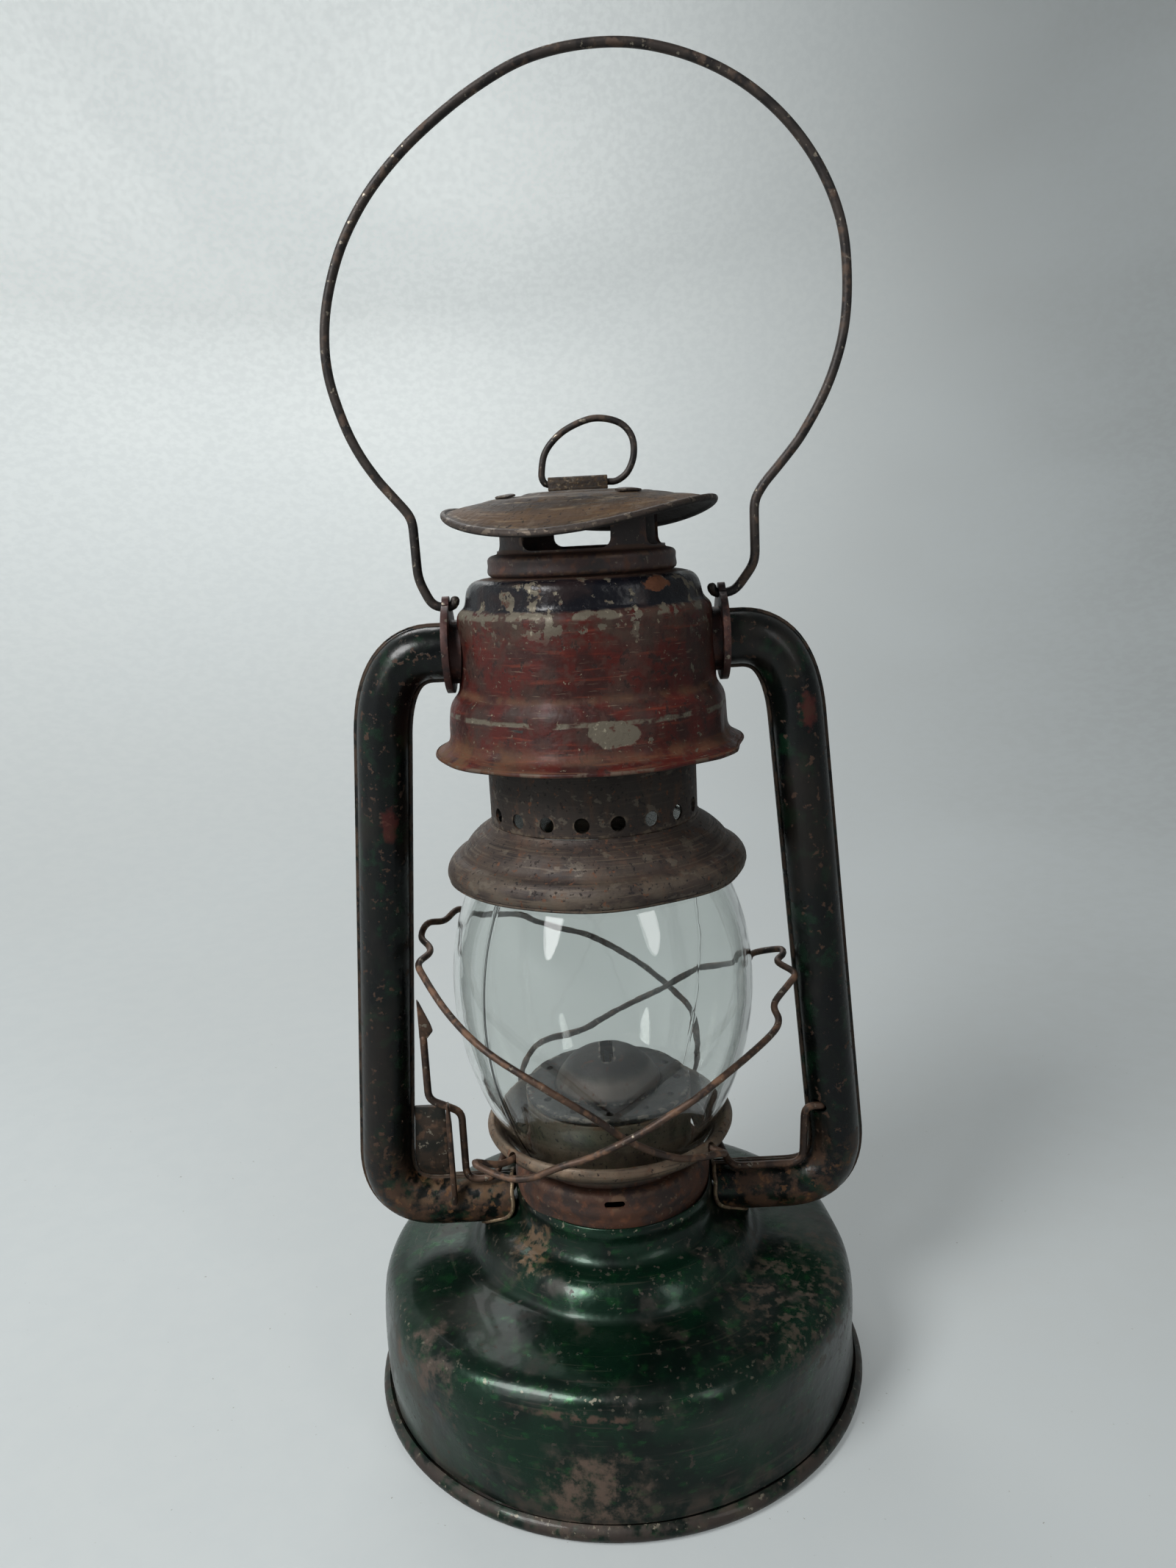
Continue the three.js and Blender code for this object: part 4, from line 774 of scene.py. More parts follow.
def red_bell():
    """Worn red paint under a black band, with bare chips and dust on the foot."""
    s = Surface("red_bell", (62, 19, 14), 0.46)
    s.layer(s.patches(9, 0.42, 0.6, warp=0.5, detail=6), (42, 18, 15), 0.48)
    s.layer(s.streaks(1.6, 22, 0.56, 0.7, seed=1), (104, 46, 31), 0.5, strength=0.5)
    s.layer(s.patches(13, 0.48, 0.64, seed=2, detail=6), (46, 34, 29), 0.6, strength=0.8)
    s.layer(s.patches(2.6, 0.54, 0.64, seed=31, detail=6), (58, 36, 30), 0.62, strength=0.7)
    s.layer(s.streaks(0.7, 9, 0.62, 0.7, seed=32), (106, 92, 78), 0.5, 0.2, strength=0.5)
    flecks = s.patches(2.0, 0.64, 0.66, seed=33, detail=7, rough=0.65)
    s.layer(flecks, (112, 102, 86), 0.5, 0.2, -0.05, strength=0.8)
    s.layer(s.patches(3.2, 0.6, 0.63, seed=34, detail=7, rough=0.6), (30, 20, 18), 0.5, height=-0.04,
            strength=0.75)
    level = s.level()
    upper_zone = s.band(s.ragged(level, 3, 8, 21), 261, 268)
    s.layer(s.patchy(upper_zone, 5, 0.42, 0.58, detail=6, seed=22), (56, 44, 36), 0.6, strength=0.7)
    leftward = s.band(s.math("MULTIPLY", s.axis("X"), 1 / MM), -42, -6, invert=True)
    dusty = s.band(s.ragged(level, 3.5, 9, 3), 229.5, 238, invert=True)
    s.layer(s.both(dusty, leftward, s.patches(7, 0.4, 0.6, detail=5, seed=4)), (84, 60, 39), 0.85,
            strength=0.7)
    s.layer(s.both(dusty, s.streaks(1.3, 14, 0.52, 0.66, seed=23)), (82, 48, 32), 0.8, strength=0.6)
    hollow = s.hollow(-0.24, -0.02)
    s.layer(s.patchy(hollow, 8, 0.36, 0.58, detail=5, seed=24), (84, 58, 40), 0.85, strength=0.75)
    rough_level = s.ragged(level, 0.9, 6, 5)
    dark_band = s.band(rough_level, BAND_FOOT - 0.6, BAND_FOOT + 0.6)
    s.layer(dark_band, (14, 14, 19), 0.26, height=0.06)
    s.layer(s.patchy(dark_band, 11, 0.5, 0.66, seed=6, detail=5), (30, 21, 21), 0.4, strength=0.8)
    top = s.band(s.ragged(s.radius(), 1.5, 6, 7), 31.5, 34.5, invert=True)
    s.layer(s.both(top, s.band(level, BAND_TOP, BAND_TOP + 0.5)), (60, 42, 33), 0.8)
    chips = s.patches(6, 0.655, 0.67, detail=7, seed=8, rough=0.62)
    line_low = s.both(s.band(rough_level, 270.8, 271.6), s.band(rough_level, 273.2, 274, True),
                      s.patches(10, 0.5, 0.54, detail=6, seed=9))
    line_step = s.both(s.band(rough_level, 240.2, 240.8), s.band(rough_level, 241.6, 242.2, True),
                       s.patches(11, 0.44, 0.5, detail=6, seed=10))
    upper = s.both(s.band(rough_level, 262, 271), s.patches(4.5, 0.58, 0.61, detail=7, seed=13))
    big = s.spot((6.4, -45, 238), (7.5, 9, 4.2), soft=0.06, seed=11, size=7, amount=0.8)
    bare = s.either(chips, line_low, line_step, upper, big)
    s.layer(bare, (88, 82, 71), 0.5, 0.3, -0.08)
    s.layer(s.patchy(bare, 2.2, 0.6, 0.68, detail=6, seed=12), (126, 120, 104), 0.5, 0.35)
    s.layer(s.patchy(bare, 3, 0.56, 0.66, detail=6, seed=25), (64, 42, 34), 0.7, 0.1)
    orange = s.spot((22, -31, 280), (4.6, 7, 2.6), soft=0.1, seed=14, size=5, amount=0.9)
    s.layer(orange, (84, 51, 34), 0.7, 0.0, -0.04)
    s.layer(s.worn(0.25, 0.5, 5, 0.5, 0.58, seed=15), (84, 72, 61), 0.6, 0.3, strength=0.8)
    # painted shade: darker on faces that point down
    s.layer(s.band(s.upward(), -0.75, -0.35, invert=True), (36, 29, 26), 0.85, strength=0.9)
    s.grain(1.4, 0.1, detail=5, seed=16)
    s.grain(8, 0.6, seed=17)
    return s.finish(coat=0.03, coat_rough=0.2, specular=0.2)


def brown_tin(name="brown_tin", base=(54, 44, 38), dark=(38, 29, 26), grey=0.64):
    s = Surface(name, base, 0.58, 0.2)
    s.layer(s.patches(16, 0.45, 0.62, warp=0.5, detail=5), dark, 0.62)
    pipe = s.band(s.ragged(s.level(), 2, 8, 12), 203, 208)
    s.layer(pipe, (33, 26, 21), 0.64, strength=0.75)
    skirt = s.math("SUBTRACT", 1.0, s.math("MULTIPLY", pipe, 0.8))
    s.layer(s.patches(7, 0.5, 0.68, detail=6, seed=1, stretch=(1.6, 1.6, 0.5)), (72, 50, 36), 0.8,
            0.0, strength=0.6)
    s.layer(s.both(skirt, s.streaks(0.9, 30, 0.52, 0.64, seed=7)), (84, 73, 61), 0.5, 0.3, strength=0.6)
    s.layer(s.both(skirt, s.streaks(0.8, 22, 0.58, 0.64, seed=13)), (24, 19, 17), 0.7, strength=0.6)
    low = s.band(s.ragged(s.level(), 3, 8, 8), 190, 200, invert=True)
    s.layer(s.patchy(low, 14, 0.4, 0.6, detail=6, seed=9, stretch=(1, 1, 2.5)),
            (84, 74, 62), 0.55, 0.2, strength=0.6)
    s.layer(s.patches(5, grey - 0.05, grey, detail=7, seed=2, stretch=(1, 1, 1.7)),
            (92, 84, 73), 0.5, 0.35, strength=0.5)
    s.layer(s.patches(1.5, 0.6, 0.65, detail=6, seed=3), (22, 17, 16), 0.85, 0.0, -0.08, strength=0.85)
    s.layer(s.patches(2.2, 0.62, 0.68, detail=6, seed=11), (88, 54, 34), 0.85, 0.0, strength=0.75)
    s.layer(s.worn(0.25, 0.55, 3, 0.48, 0.6, seed=4), (92, 80, 67), 0.45, 0.5, strength=0.8)
    s.layer(s.hollow(-0.3, -0.03), (44, 31, 25), 0.85, strength=0.7)
    # painted shade: darker on faces that point down
    s.layer(s.band(s.upward(), -0.7, -0.3, invert=True), UNDERSIDE_SHADE, 0.85, strength=0.75)
    s.grain(1.1, 0.09, detail=5, seed=5)
    s.grain(9, 0.3, seed=6)
    return s.finish(specular=0.38)


def ochre_cap():
    s = Surface("ochre_cap", (42, 31, 20), 0.7, 0.05)
    s.layer(s.patches(11, 0.44, 0.62, warp=0.7, detail=6), (62, 45, 25), 0.78, 0.0)
    s.layer(s.streaks(0.8, 26, 0.48, 0.62, seed=3), (31, 26, 23), 0.65, strength=0.8)
    s.layer(s.streaks(1.2, 18, 0.55, 0.64, seed=5), (92, 79, 60), 0.5, 0.3, strength=0.7)
    s.layer(s.streaks(0.6, 34, 0.56, 0.62, seed=6), (24, 20, 18), 0.7, height=-0.06, strength=0.7)
    s.layer(s.patches(6, 0.54, 0.68, detail=6, seed=1), (33, 28, 27), 0.7, strength=0.8)
    s.layer(s.patches(5, 0.6, 0.68, detail=6, seed=2), (74, 66, 56), 0.5, 0.35, strength=0.5)
    ring = s.both(s.band(s.ragged(s.radius(), 1.6, 7, 3), 34, 37),
                  s.band(s.ragged(s.radius(), 1.6, 7, 3), 39, 42, True))
    s.layer(ring, (86, 62, 38), 0.75, 0.0, strength=0.4)
    rim = s.band(s.edge(), 0.2, 0.55)
    s.layer(rim, (48, 40, 36), 0.6, 0.2, strength=0.8)
    s.layer(s.patchy(rim, 3, 0.54, 0.6, detail=5, seed=4), (86, 76, 66), 0.5, 0.4)
    s.layer(s.patches(1.6, 0.61, 0.66, detail=6, seed=5), (26, 22, 20), 0.85, 0.0, -0.07, strength=0.85)
    # painted shade: darker on faces that point down
    s.layer(s.band(s.upward(), -0.6, -0.1, invert=True), (28, 24, 23), 0.8, strength=0.9)
    s.grain(1.2, 0.12, detail=5, seed=6)
    s.grain(5, 0.55, seed=7)
    return s.finish(specular=0.3)


def collar_iron():
    s = Surface("collar_iron", (54, 34, 30), 0.56, 0.15)
    s.layer(s.patches(10, 0.45, 0.6, warp=0.5), (38, 29, 28), 0.6)
    s.layer(s.patches(5, 0.56, 0.68, detail=6, seed=1), (78, 50, 38), 0.75, 0.0)
    s.layer(s.patches(1.8, 0.64, 0.67, detail=6, seed=2), (104, 95, 84), 0.5, 0.5, strength=0.7)
    s.layer(s.worn(0.2, 0.5, 3, 0.46, 0.58, seed=3), (80, 60, 48), 0.5, 0.4)
    s.layer(s.hollow(-0.3, -0.03), (84, 60, 46), 0.85, strength=0.6)
    s.grain(1.2, 0.09, detail=5, seed=4)
    s.grain(8, 0.3, seed=5)
    return s.finish()


def steel_wire(name, base, light, dark):
    s = Surface(name, base, 0.55, 0.45)
    s.layer(s.patches(7, 0.45, 0.58, detail=5), dark, 0.5, 0.5)
    s.layer(s.patches(4, 0.52, 0.66, detail=6, seed=1), light, 0.8, 0.05, 0.02, strength=0.7)
    s.layer(s.patches(2, 0.62, 0.68, detail=4, seed=2), (118, 110, 98), 0.4, 0.8)
    s.grain(0.8, 0.07, detail=5, seed=3)
    s.grain(3.5, 0.12, seed=4)
    return s.finish()


def burner_rust():
    s = Surface("burner_rust", (68, 41, 27), 0.7, 0.1)
    s.layer(s.patches(8, 0.43, 0.6, warp=0.5, detail=5), (43, 30, 25), 0.75)
    s.layer(s.patches(4, 0.54, 0.68, detail=6, seed=1), (104, 62, 38), 0.85, 0.0, 0.03, strength=0.55)
    s.layer(s.patches(2.4, 0.63, 0.67, detail=5, seed=2), (92, 78, 64), 0.5, 0.4)
    drum = s.band(s.ragged(s.level(), 1.2, 6, 7), 84, 86)
    s.layer(drum, (96, 86, 71), 0.6, 0.1)
    s.layer(s.patchy(drum, 6, 0.48, 0.64, detail=6, seed=8), (70, 60, 48), 0.7)
    s.layer(s.patchy(drum, 1.6, 0.6, 0.66, detail=5, seed=9), (36, 30, 26), 0.85)
    s.layer(s.worn(0.2, 0.5, 3, 0.46, 0.58, seed=3), (98, 74, 56), 0.5, 0.4)
    s.grain(1.0, 0.12, detail=5, seed=4)
    s.grain(6, 0.3, seed=5)
    return s.finish()


def burner_tin():
    """Deck and cone: dark, with a painted highlight as a paler belt round the cone, above a painted shadow
    at its foot.
    """
    s = Surface("burner_tin", (29, 26, 24), 0.55, 0.15)
    s.layer(s.patches(9, 0.48, 0.64, warp=0.6, detail=5), (47, 41, 36), 0.6)
    s.layer(s.patches(4, 0.5, 0.62, detail=6, seed=1), (19, 17, 17), 0.6, strength=0.8)
    level = s.ragged(s.level(), 1.0, 6, 2)
    on_cone = s.band(s.radius(), 18.6, 19.4, invert=True)
    # painted highlight: a paler belt round the cone
    s.layer(s.both(on_cone, s.band(level, 109, 110.5), s.band(level, 113.5, 116.5, True)),
            (92, 82, 75), 0.55, 0.2, strength=0.85)
    # painted shadow: the cone's foot darkened where it meets the deck
    s.layer(s.both(on_cone, s.band(level, 108, 109.4, True)), (16, 15, 15), 0.7)
    s.layer(s.both(on_cone, s.band(level, 115.5, 118)), (34, 29, 28), 0.6)
    s.layer(s.patches(2.6, 0.6, 0.66, detail=6, seed=3), (76, 44, 34), 0.8, 0.0, strength=0.8)
    s.layer(s.worn(0.25, 0.55, 3, 0.48, 0.6, seed=4), (104, 96, 86), 0.45, 0.4)
    s.grain(1.0, 0.08, detail=5, seed=5)
    s.grain(7, 0.4, seed=6)
    return s.finish()


def dull_brass():
    s = Surface("dull_brass", (94, 74, 44), 0.42, 0.8)
    s.layer(s.patches(9, 0.44, 0.62, warp=0.5, detail=5), (70, 56, 38), 0.55, 0.6)
    s.layer(s.patches(3, 0.57, 0.66, detail=5, seed=1), (46, 40, 32), 0.7, 0.2)
    s.layer(s.patches(4, 0.64, 0.7, detail=5, seed=2), (66, 92, 72), 0.8, 0.0, strength=0.6)
    s.layer(s.worn(0.25, 0.6, 3, 0.4, 0.55, seed=3), (164, 134, 80), 0.3, 0.95)
    s.grain(1.0, 0.05, detail=5, seed=4)
    return s.finish()


def solder_line():
    s = Surface("solder", (112, 96, 74), 0.5, 0.5)
    s.layer(s.patches(3, 0.46, 0.6, detail=5), (70, 52, 38), 0.7, 0.1)
    s.layer(s.patches(2, 0.58, 0.66, detail=5, seed=1), (158, 146, 118), 0.4, 0.7)
    s.grain(1.5, 0.2, detail=5, seed=2)
    return s.finish()


CHAR_FOOT = 113
WEAVE_SCALE = 400


def cotton_wick():
    s = Surface("cotton_wick", (176, 166, 142), 0.95)
    s.layer(s.patches(4, 0.45, 0.6, detail=5), (146, 132, 106), 0.95)
    charred = s.band(s.ragged(s.level(), 1.2, 2, 1), CHAR_FOOT - 1.5, CHAR_FOOT + 1.5)
    s.layer(charred, (26, 22, 21), 0.95)
    weave = s.node("ShaderNodeTexWave", wave_type="BANDS", bands_direction="DIAGONAL")
    s.feed(weave.inputs["Vector"], s.place)
    weave.inputs["Scale"].default_value = WEAVE_SCALE
    weave.inputs["Distortion"].default_value = 1.5
    s.raise_by(weave.outputs["Fac"], 0.15)
    return s.finish()


def cork_ring():
    s = Surface("cork", (134, 100, 66), 0.9)
    s.layer(s.patches(1.6, 0.5, 0.62, detail=4), (96, 66, 42), 0.9, height=-0.1)
    s.layer(s.patches(3, 0.6, 0.66, detail=4, seed=1), (62, 42, 28), 0.9)
    s.grain(0.7, 0.1, seed=2)
    return s.finish()


SEAM_ANGLE = 49
GLASS_INDEX = 1.47


def globe_glass():
    s = Surface("globe_glass", (238, 241, 239), 0.0)
    s.layer(s.patches(22, 0.5, 0.72, detail=5, stretch=(1, 1, 1.6)), rough=0.03)
    x, y = s.axis("X"), s.axis("Y")
    slant = math.radians(SEAM_ANGLE)
    off = s.math("ADD", s.math("MULTIPLY", x, math.cos(slant)), s.math("MULTIPLY", y, -math.sin(slant)))
    seam = s.band(s.math("MULTIPLY", s.math("ABSOLUTE", off), 1 / MM), 0.1, 0.7, invert=True)
    s.raise_by(seam, 0.25)
    s.grain(24, 0.35, detail=2, seed=1)
    s.grain(7, 0.03, detail=2, seed=2)
    material = s.finish(bump=0.7)
    s.shader.inputs["Transmission Weight"].default_value = 1.0
    s.shader.inputs["IOR"].default_value = GLASS_INDEX
    return material


# Each look: its material and the name of its slot
LOOKS = {
    "fount": (green_fount(), "green_paint"),
    "tube": (green_tube(), "green_paint"),
    "bell": (red_bell(), "red_paint"),
    "tin": (brown_tin(), "brown_tin"),
    "plate": (brown_tin("plate_tin", (112, 94, 76), (84, 68, 54), 0.6), "brown_tin"),
    "inner": (burner_tin(), "brown_tin"),
    "cap": (ochre_cap(), "ochre_tin"),
    "collar": (collar_iron(), "rusty_steel"),
    "bail": (steel_wire("bail_wire", (46, 39, 35), (76, 58, 45), (28, 24, 23)), "rusty_steel"),
    "guard": (steel_wire("guard_wire", (72, 53, 41), (104, 75, 54), (46, 35, 29)), "rusty_steel"),
    "ear": (steel_wire("ear_iron", (60, 36, 32), (96, 58, 44), (34, 24, 24)), "rusty_steel"),
    "web": (steel_wire("web_iron", (48, 37, 28), (80, 57, 40), (27, 26, 21)), "green_paint"),
    "burner": (burner_rust(), "rusty_steel"),
    "brass": (dull_brass(), "worn_brass"),
    "solder": (solder_line(), "green_paint"),
    "wick": (cotton_wick(), "cotton"),
    "cork": (cork_ring(), "cork"),
    "glass": (globe_glass(), "clear_glass"),
}


# Fount: body drawn in steps, bottom with a rolled foot
FOUNT_SECTIONS = [
    [(84, 6.1), (84, 30)],
    [(84, 30), (83.55, 38.7), (82.5, 42.7), (80.4, 45.66), (76.5, 47.4)],
    [(76.5, 47.4), (64.5, 49.1), (52.6, 50.2)],
    [(52.6, 50.2), (50.56, 51.63), (48.52, 55.5), (45.46, 58.97), (42.4, 60.4)],
    [(42.4, 60.4), (40.13, 60.78), (37.85, 62.04), (36.55, 64.31), (35.9, 68.21),
     (36.3, 71.1), (35.5, 73)],
]
FOUNT_LINE = outline(FOUNT_SECTIONS)
FOOT_SECTIONS = [
    [(0, 3.2), (52, 3.2)],
    [(52, 3.2), (55, 2.4), (58, 2.2), (61, 2.4), (64, 3.2)],
    [(64, 3.2), (78, 3.2)],
    [(78, 3.2), (80.4, 1.6), (82.6, 0.1), (85.4, 0.7), (86.5, 2.9), (85.6, 5), (84.1, 5.8)],
]
FOOT_END = (83.2, 5.1)
SHOULDER_FOOT = 30


def fount_radius(height):
    """Outside radius of the fount at a height above its shoulder."""
    upper = FOUNT_LINE[FOUNT_LINE[:, 1] > SHOULDER_FOOT]
    return float(np.interp(height, upper[:, 1], upper[:, 0]))


def make_fount():
    body = new_object("fount_shell", revolved(sheet_loop(FOUNT_LINE)))
    dented(body, depth=2.6, size=34, seed=1)
    dress(body, "fount", "fount_body")
    outer = np.vstack([outline(FOOT_SECTIONS, step=1, rounds=1), [FOOT_END]])
    inner = outer + SHEET * sideways(tangents(outer))
    inner[0, 0] = 0
    foot = new_object("fount_foot", revolved(np.array([*outer, *inner[::-1]])))
    dress(foot, "fount", "fount_bottom")


# Filler at the hidden back: knurled cap and threaded neck
FILLER_ANGLE = 118
FILLER_OUT = 66.4
CAP_KNURLS = 36
NECK_TURNS = 5
NECK_WALL = 1.2


def filler_place(height):
    angle = math.radians(FILLER_ANGLE)
    return (FILLER_OUT * math.cos(angle), FILLER_OUT * math.sin(angle), height)


def knurled_rings(profile, knurls, depth, fade):
    """Rings of a turned shape whose side has knurls; fade gives their share at each ring."""
    sides = knurls * 4
    wave = [(0, 1, 1, 0)[i % 4] for i in range(sides)]
    rings = []
    for (radius, height), share in zip(profile, fade):
        ring = []
        for i in range(sides):
            angle = 2 * math.pi * i / sides
            reach = radius - depth * share * wave[i]
            ring.append((reach * math.cos(angle), reach * math.sin(angle), height))
        rings.append(ring)
    return rings


def make_filler():
    radius, low, high = round_box("filler_cap")
    profile = [(radius - 1.6, low), (radius - 0.3, low + 0.3), (radius, low + 1), (radius, high - 2),
               (radius - 0.4, high - 1), (radius - 1.6, high - 0.2), (radius - 3.4, high),
               (radius - 4.6, high - 0.6), (0.8, high - 0.6)]
    fade = [0, 0, 0.9, 0.9, 0.5, 0, 0, 0, 0]
    inside = [(0.8, high - 1.4), (radius - 2, high - 1.4), (radius - 2, low)]
    rings = knurled_rings(profile + inside, CAP_KNURLS, 0.7, fade + [0, 0, 0])
    cap = new_object("filler_cap_shell", moved(lofted(rings), filler_place(0)))
    dress(cap, "brass", "filler_cap")
    outer, low, high = round_box("filler_neck")
    bore = outer - NECK_WALL
    loop = [(bore, low), (outer, low)]
    pitch = (high - low - 1) / NECK_TURNS
    for k in range(NECK_TURNS):
        start = low + 0.5 + k * pitch
        loop += [(outer - 0.4, start), (outer, start + pitch * 0.4), (outer, start + pitch * 0.6)]
    loop += [(outer - 0.4, high - 0.2), (outer - 0.6, high), (bore, high)]
    neck = new_object("filler_neck_thread", revolved(loop, 48, filler_place(0)))
    dress(neck, "brass", "filler_neck")


# Burner: body with its air slot, pierced deck, cone, wick and knob. Here and below, the two
# numbers of each CUT say where a cut starts and ends along its axis
BURNER_SECTIONS = [
    [(33.8, 59.75), (33.8, 75.6)],
    [(33.8, 75.6), (34.5, 77.1), (33.8, 78.6)],
    [(33.8, 78.6), (33.7, 82.2), (32.6, 83.8), (30.4, 84.3)],
    [(30.4, 84.3), (28.8, 85), (28.8, 106.4)],
]
CONE_POINTS = [(18.4, 107.8), (18.2, 109.8), (16.2, 113.4), (12.1, 117.5), (7, 119.7), (0, 120.3)]
DECK_LOW = 106.7
DECK_THICK = 0.8
DECK_REACH = 28.8
DECK_BORE = 16.8
DECK_HOLES = 12
DECK_HOLE_RADIUS = 1.3
DECK_HOLE_OUT = 24.1
DECK_CUT = (100, 112)
SLOT_SIZE = (6.8, 2.3, 1.1)
SLOT_HEIGHT = 80.6
SLOT_CUT = (-40, -20)
FLAME_SLOT_SIZE = (4.4, 17, 1.6)
FLAME_CUT = (112, 130)
WICK_SIZE = (1.7, 13.5, 0.6)
SHAFT_HOLE_RADIUS = 1.6
SHAFT_CUT = (20, 45)
SHAFT_OUT = 4.65
SHAFT_HEIGHT = 79.6
KNOB_RADIUS = 6.2
KNOB_LOW = 44.5
KNOB_WIDTH = 3.2
KNOB_KNURLS = 24


def make_burner():
    line = outline(BURNER_SECTIONS, rounds=1)
    body = new_object("burner_shell", revolved(sheet_loop(line), NARROW))
    slot = prism([(x, z + SLOT_HEIGHT) for x, z in rounded_box(*SLOT_SIZE)], *SLOT_CUT, "Y")
    hole = prism(disc((SHAFT_OUT, SHAFT_HEIGHT), SHAFT_HOLE_RADIUS), *SHAFT_CUT, "Y")
    cut(body, joined(slot, hole))
    dress(body, "burner", "burner_body")

    deck_loop = sheet_loop(outline([[(DECK_REACH, DECK_LOW), (DECK_BORE, DECK_LOW)]], 2, 0), DECK_THICK)
    deck_loop = np.array([(r, 2 * DECK_LOW + DECK_THICK - z if z < DECK_LOW else z) for r, z in deck_loop])
    deck = new_object("burner_deck_plate", revolved(deck_loop, NARROW))
    hole = disc((DECK_HOLE_OUT, 0), DECK_HOLE_RADIUS, 18)
    cut_round(deck, hole, *DECK_CUT, "Z", even_turns(DECK_HOLES))
    dress(deck, "inner", "burner_deck")

    cone_line = outline([CONE_POINTS], step=0.8, rounds=1)
    cone = new_object("burner_dome", revolved(sheet_loop(cone_line, 0.7, to_axis=True), 64))
    cut(cone, prism(rounded_box(*FLAME_SLOT_SIZE), *FLAME_CUT))
    dress(cone, "inner", "burner_cone")

    _, low, high = round_box("wick")
    wick = new_object("wick_cloth", prism(rounded_box(*WICK_SIZE), low, high))
    dress(wick, "wick", "wick", flat=True)

    profile = [(0.2, 0), (KNOB_RADIUS - 2.6, 0), (KNOB_RADIUS - 1, 0.15), (KNOB_RADIUS, 0.7),
               (KNOB_RADIUS, KNOB_WIDTH - 0.7), (KNOB_RADIUS - 1, KNOB_WIDTH - 0.15),
               (KNOB_RADIUS - 2.4, KNOB_WIDTH), (KNOB_RADIUS - 3, KNOB_WIDTH - 0.5),
               (0.2, KNOB_WIDTH - 0.5)]
    rings = knurled_rings(profile, KNOB_KNURLS, 0.5, [0, 0, 0.3, 1, 1, 0.3, 0, 0, 0])
    rings = [[(x + SHAFT_OUT, KNOB_LOW + z, y + SHAFT_HEIGHT) for x, y, z in r] for r in rings]
    dress(new_object("wick_knob_wheel", lofted(rings)), "brass", "wick_knob")


# Side tubes: each in two halves that meet in a flat seam along both edges
TUBE_HEIGHT = 66
TUBE_STRAIGHT_OUT = 61
TUBE_RADIUS = 8.6
TUBE_WALL = 0.9
SEAM_REACH = 9.5
SEAM_GAP = 0.15
TUBE_LOW_BEND = [(61, 66), (80, 66), (79, 86)]
TUBE_HIGH_BEND = [(67.6, 235), (65.2, 261), (48.2, 260)]
TUBE_END = (45.4, 260)
LEVER_HOLE_PLACE = (-5.6, 97.5)
LEVER_HOLE_RADIUS = 2.3
LEVER_HOLE_CUT = (60, 76.5)
SOLDER_WIRE = 1.5
ARM_STEPS = 8
BEND_STEPS = 16


def quadratic(points, steps):
    a, b, c = (np.array(p, float) for p in points)
    shares = np.linspace(0, 1, steps + 1)[:, None]
    return (1 - shares) ** 2 * a + 2 * shares * (1 - shares) * b + shares ** 2 * c


def tube_line():
    """The tubes' middle line in the (out, height) plane, from the fount to the ear."""
    start = np.linspace((fount_radius(TUBE_HEIGHT), TUBE_HEIGHT), TUBE_LOW_BEND[0], ARM_STEPS + 1)
    low = quadratic(TUBE_LOW_BEND, BEND_STEPS)
    side = np.linspace(TUBE_LOW_BEND[2], TUBE_HIGH_BEND[0], 24)
    high = quadratic(TUBE_HIGH_BEND, BEND_STEPS)
    return np.vstack([start, low[1:], side[1:], high[1:], [TUBE_END]])


def tube_section(face):
    """Loop of one half: (across the seam's plane, out of it), and which points are seam."""
    bore = TUBE_RADIUS - TUBE_WALL
    lip = SEAM_GAP + TUBE_WALL
    foot = math.degrees(math.asin((lip + 0.5) / TUBE_RADIUS))
    arc = arc_points((0, 0), TUBE_RADIUS, foot, 180 - foot, 24)
    inside = arc_points((0, 0), bore, 178, 2, 16)
    flank = math.sqrt(TUBE_RADIUS ** 2 - (lip + 0.5) ** 2)
    points = [
        (SEAM_REACH - 0.15, SEAM_GAP), (SEAM_REACH, SEAM_GAP + 0.3), (SEAM_REACH, lip - 0.2),
        (SEAM_REACH - 0.2, lip), (flank + 0.45, lip), (flank + 0.1, lip + 0.25), *arc,
        (-flank - 0.1, lip + 0.25), (-flank - 0.45, lip), (0.2 - SEAM_REACH, lip),
        (-SEAM_REACH, lip - 0.2), (-SEAM_REACH, SEAM_GAP + 0.3), (0.15 - SEAM_REACH, SEAM_GAP),
        (-bore, SEAM_GAP), *inside, (bore, SEAM_GAP),
    ]
    seam = [float(abs(a) > flank + 0.05) for a, _ in points]
    return [(a, face * b) for a, b in points], seam


def tube_half(side, face):
    line = tube_line()
    along = tangents(line)
    section, seam = tube_section(face)
    rings, marks = [], []
    for i, (point, direction) in enumerate(zip(line, along)):
        normal = np.array([direction[1], -direction[0]])
        ring = []
        for a, b in section:
            out, height = point + a * normal
            if i <= ARM_STEPS:
                share = i / ARM_STEPS
                wall = math.sqrt((fount_radius(height) + 0.3) ** 2 - b ** 2)
                out = wall + (TUBE_STRAIGHT_OUT - wall) * share
                height = TUBE_HEIGHT - a
            ring.append((side * out, b, height))
        rings.append(ring)
        marks += seam
    return lofted(rings), marks


def make_tubes():
    for side_name, side in (("left", -1), ("right", 1)):
        for face_name, face in (("front", -1), ("back", 1)):
            shape, marks = tube_half(side, face)
            name = f"tube_{side_name}_{face_name}"
            tube = new_object(name + "_shell", shape)
            layer = tube.data.attributes.new("seam", "FLOAT", "POINT")
            layer.data.foreach_set("value", marks)
            if side > 0 and face < 0:
                hole = arc_points(LEVER_HOLE_PLACE, LEVER_HOLE_RADIUS, 0, 345, 15)
                cut(tube, prism(hole, *LEVER_HOLE_CUT, "X"))
            dress(tube, "tube", name)
        make_solder(side_name, side)


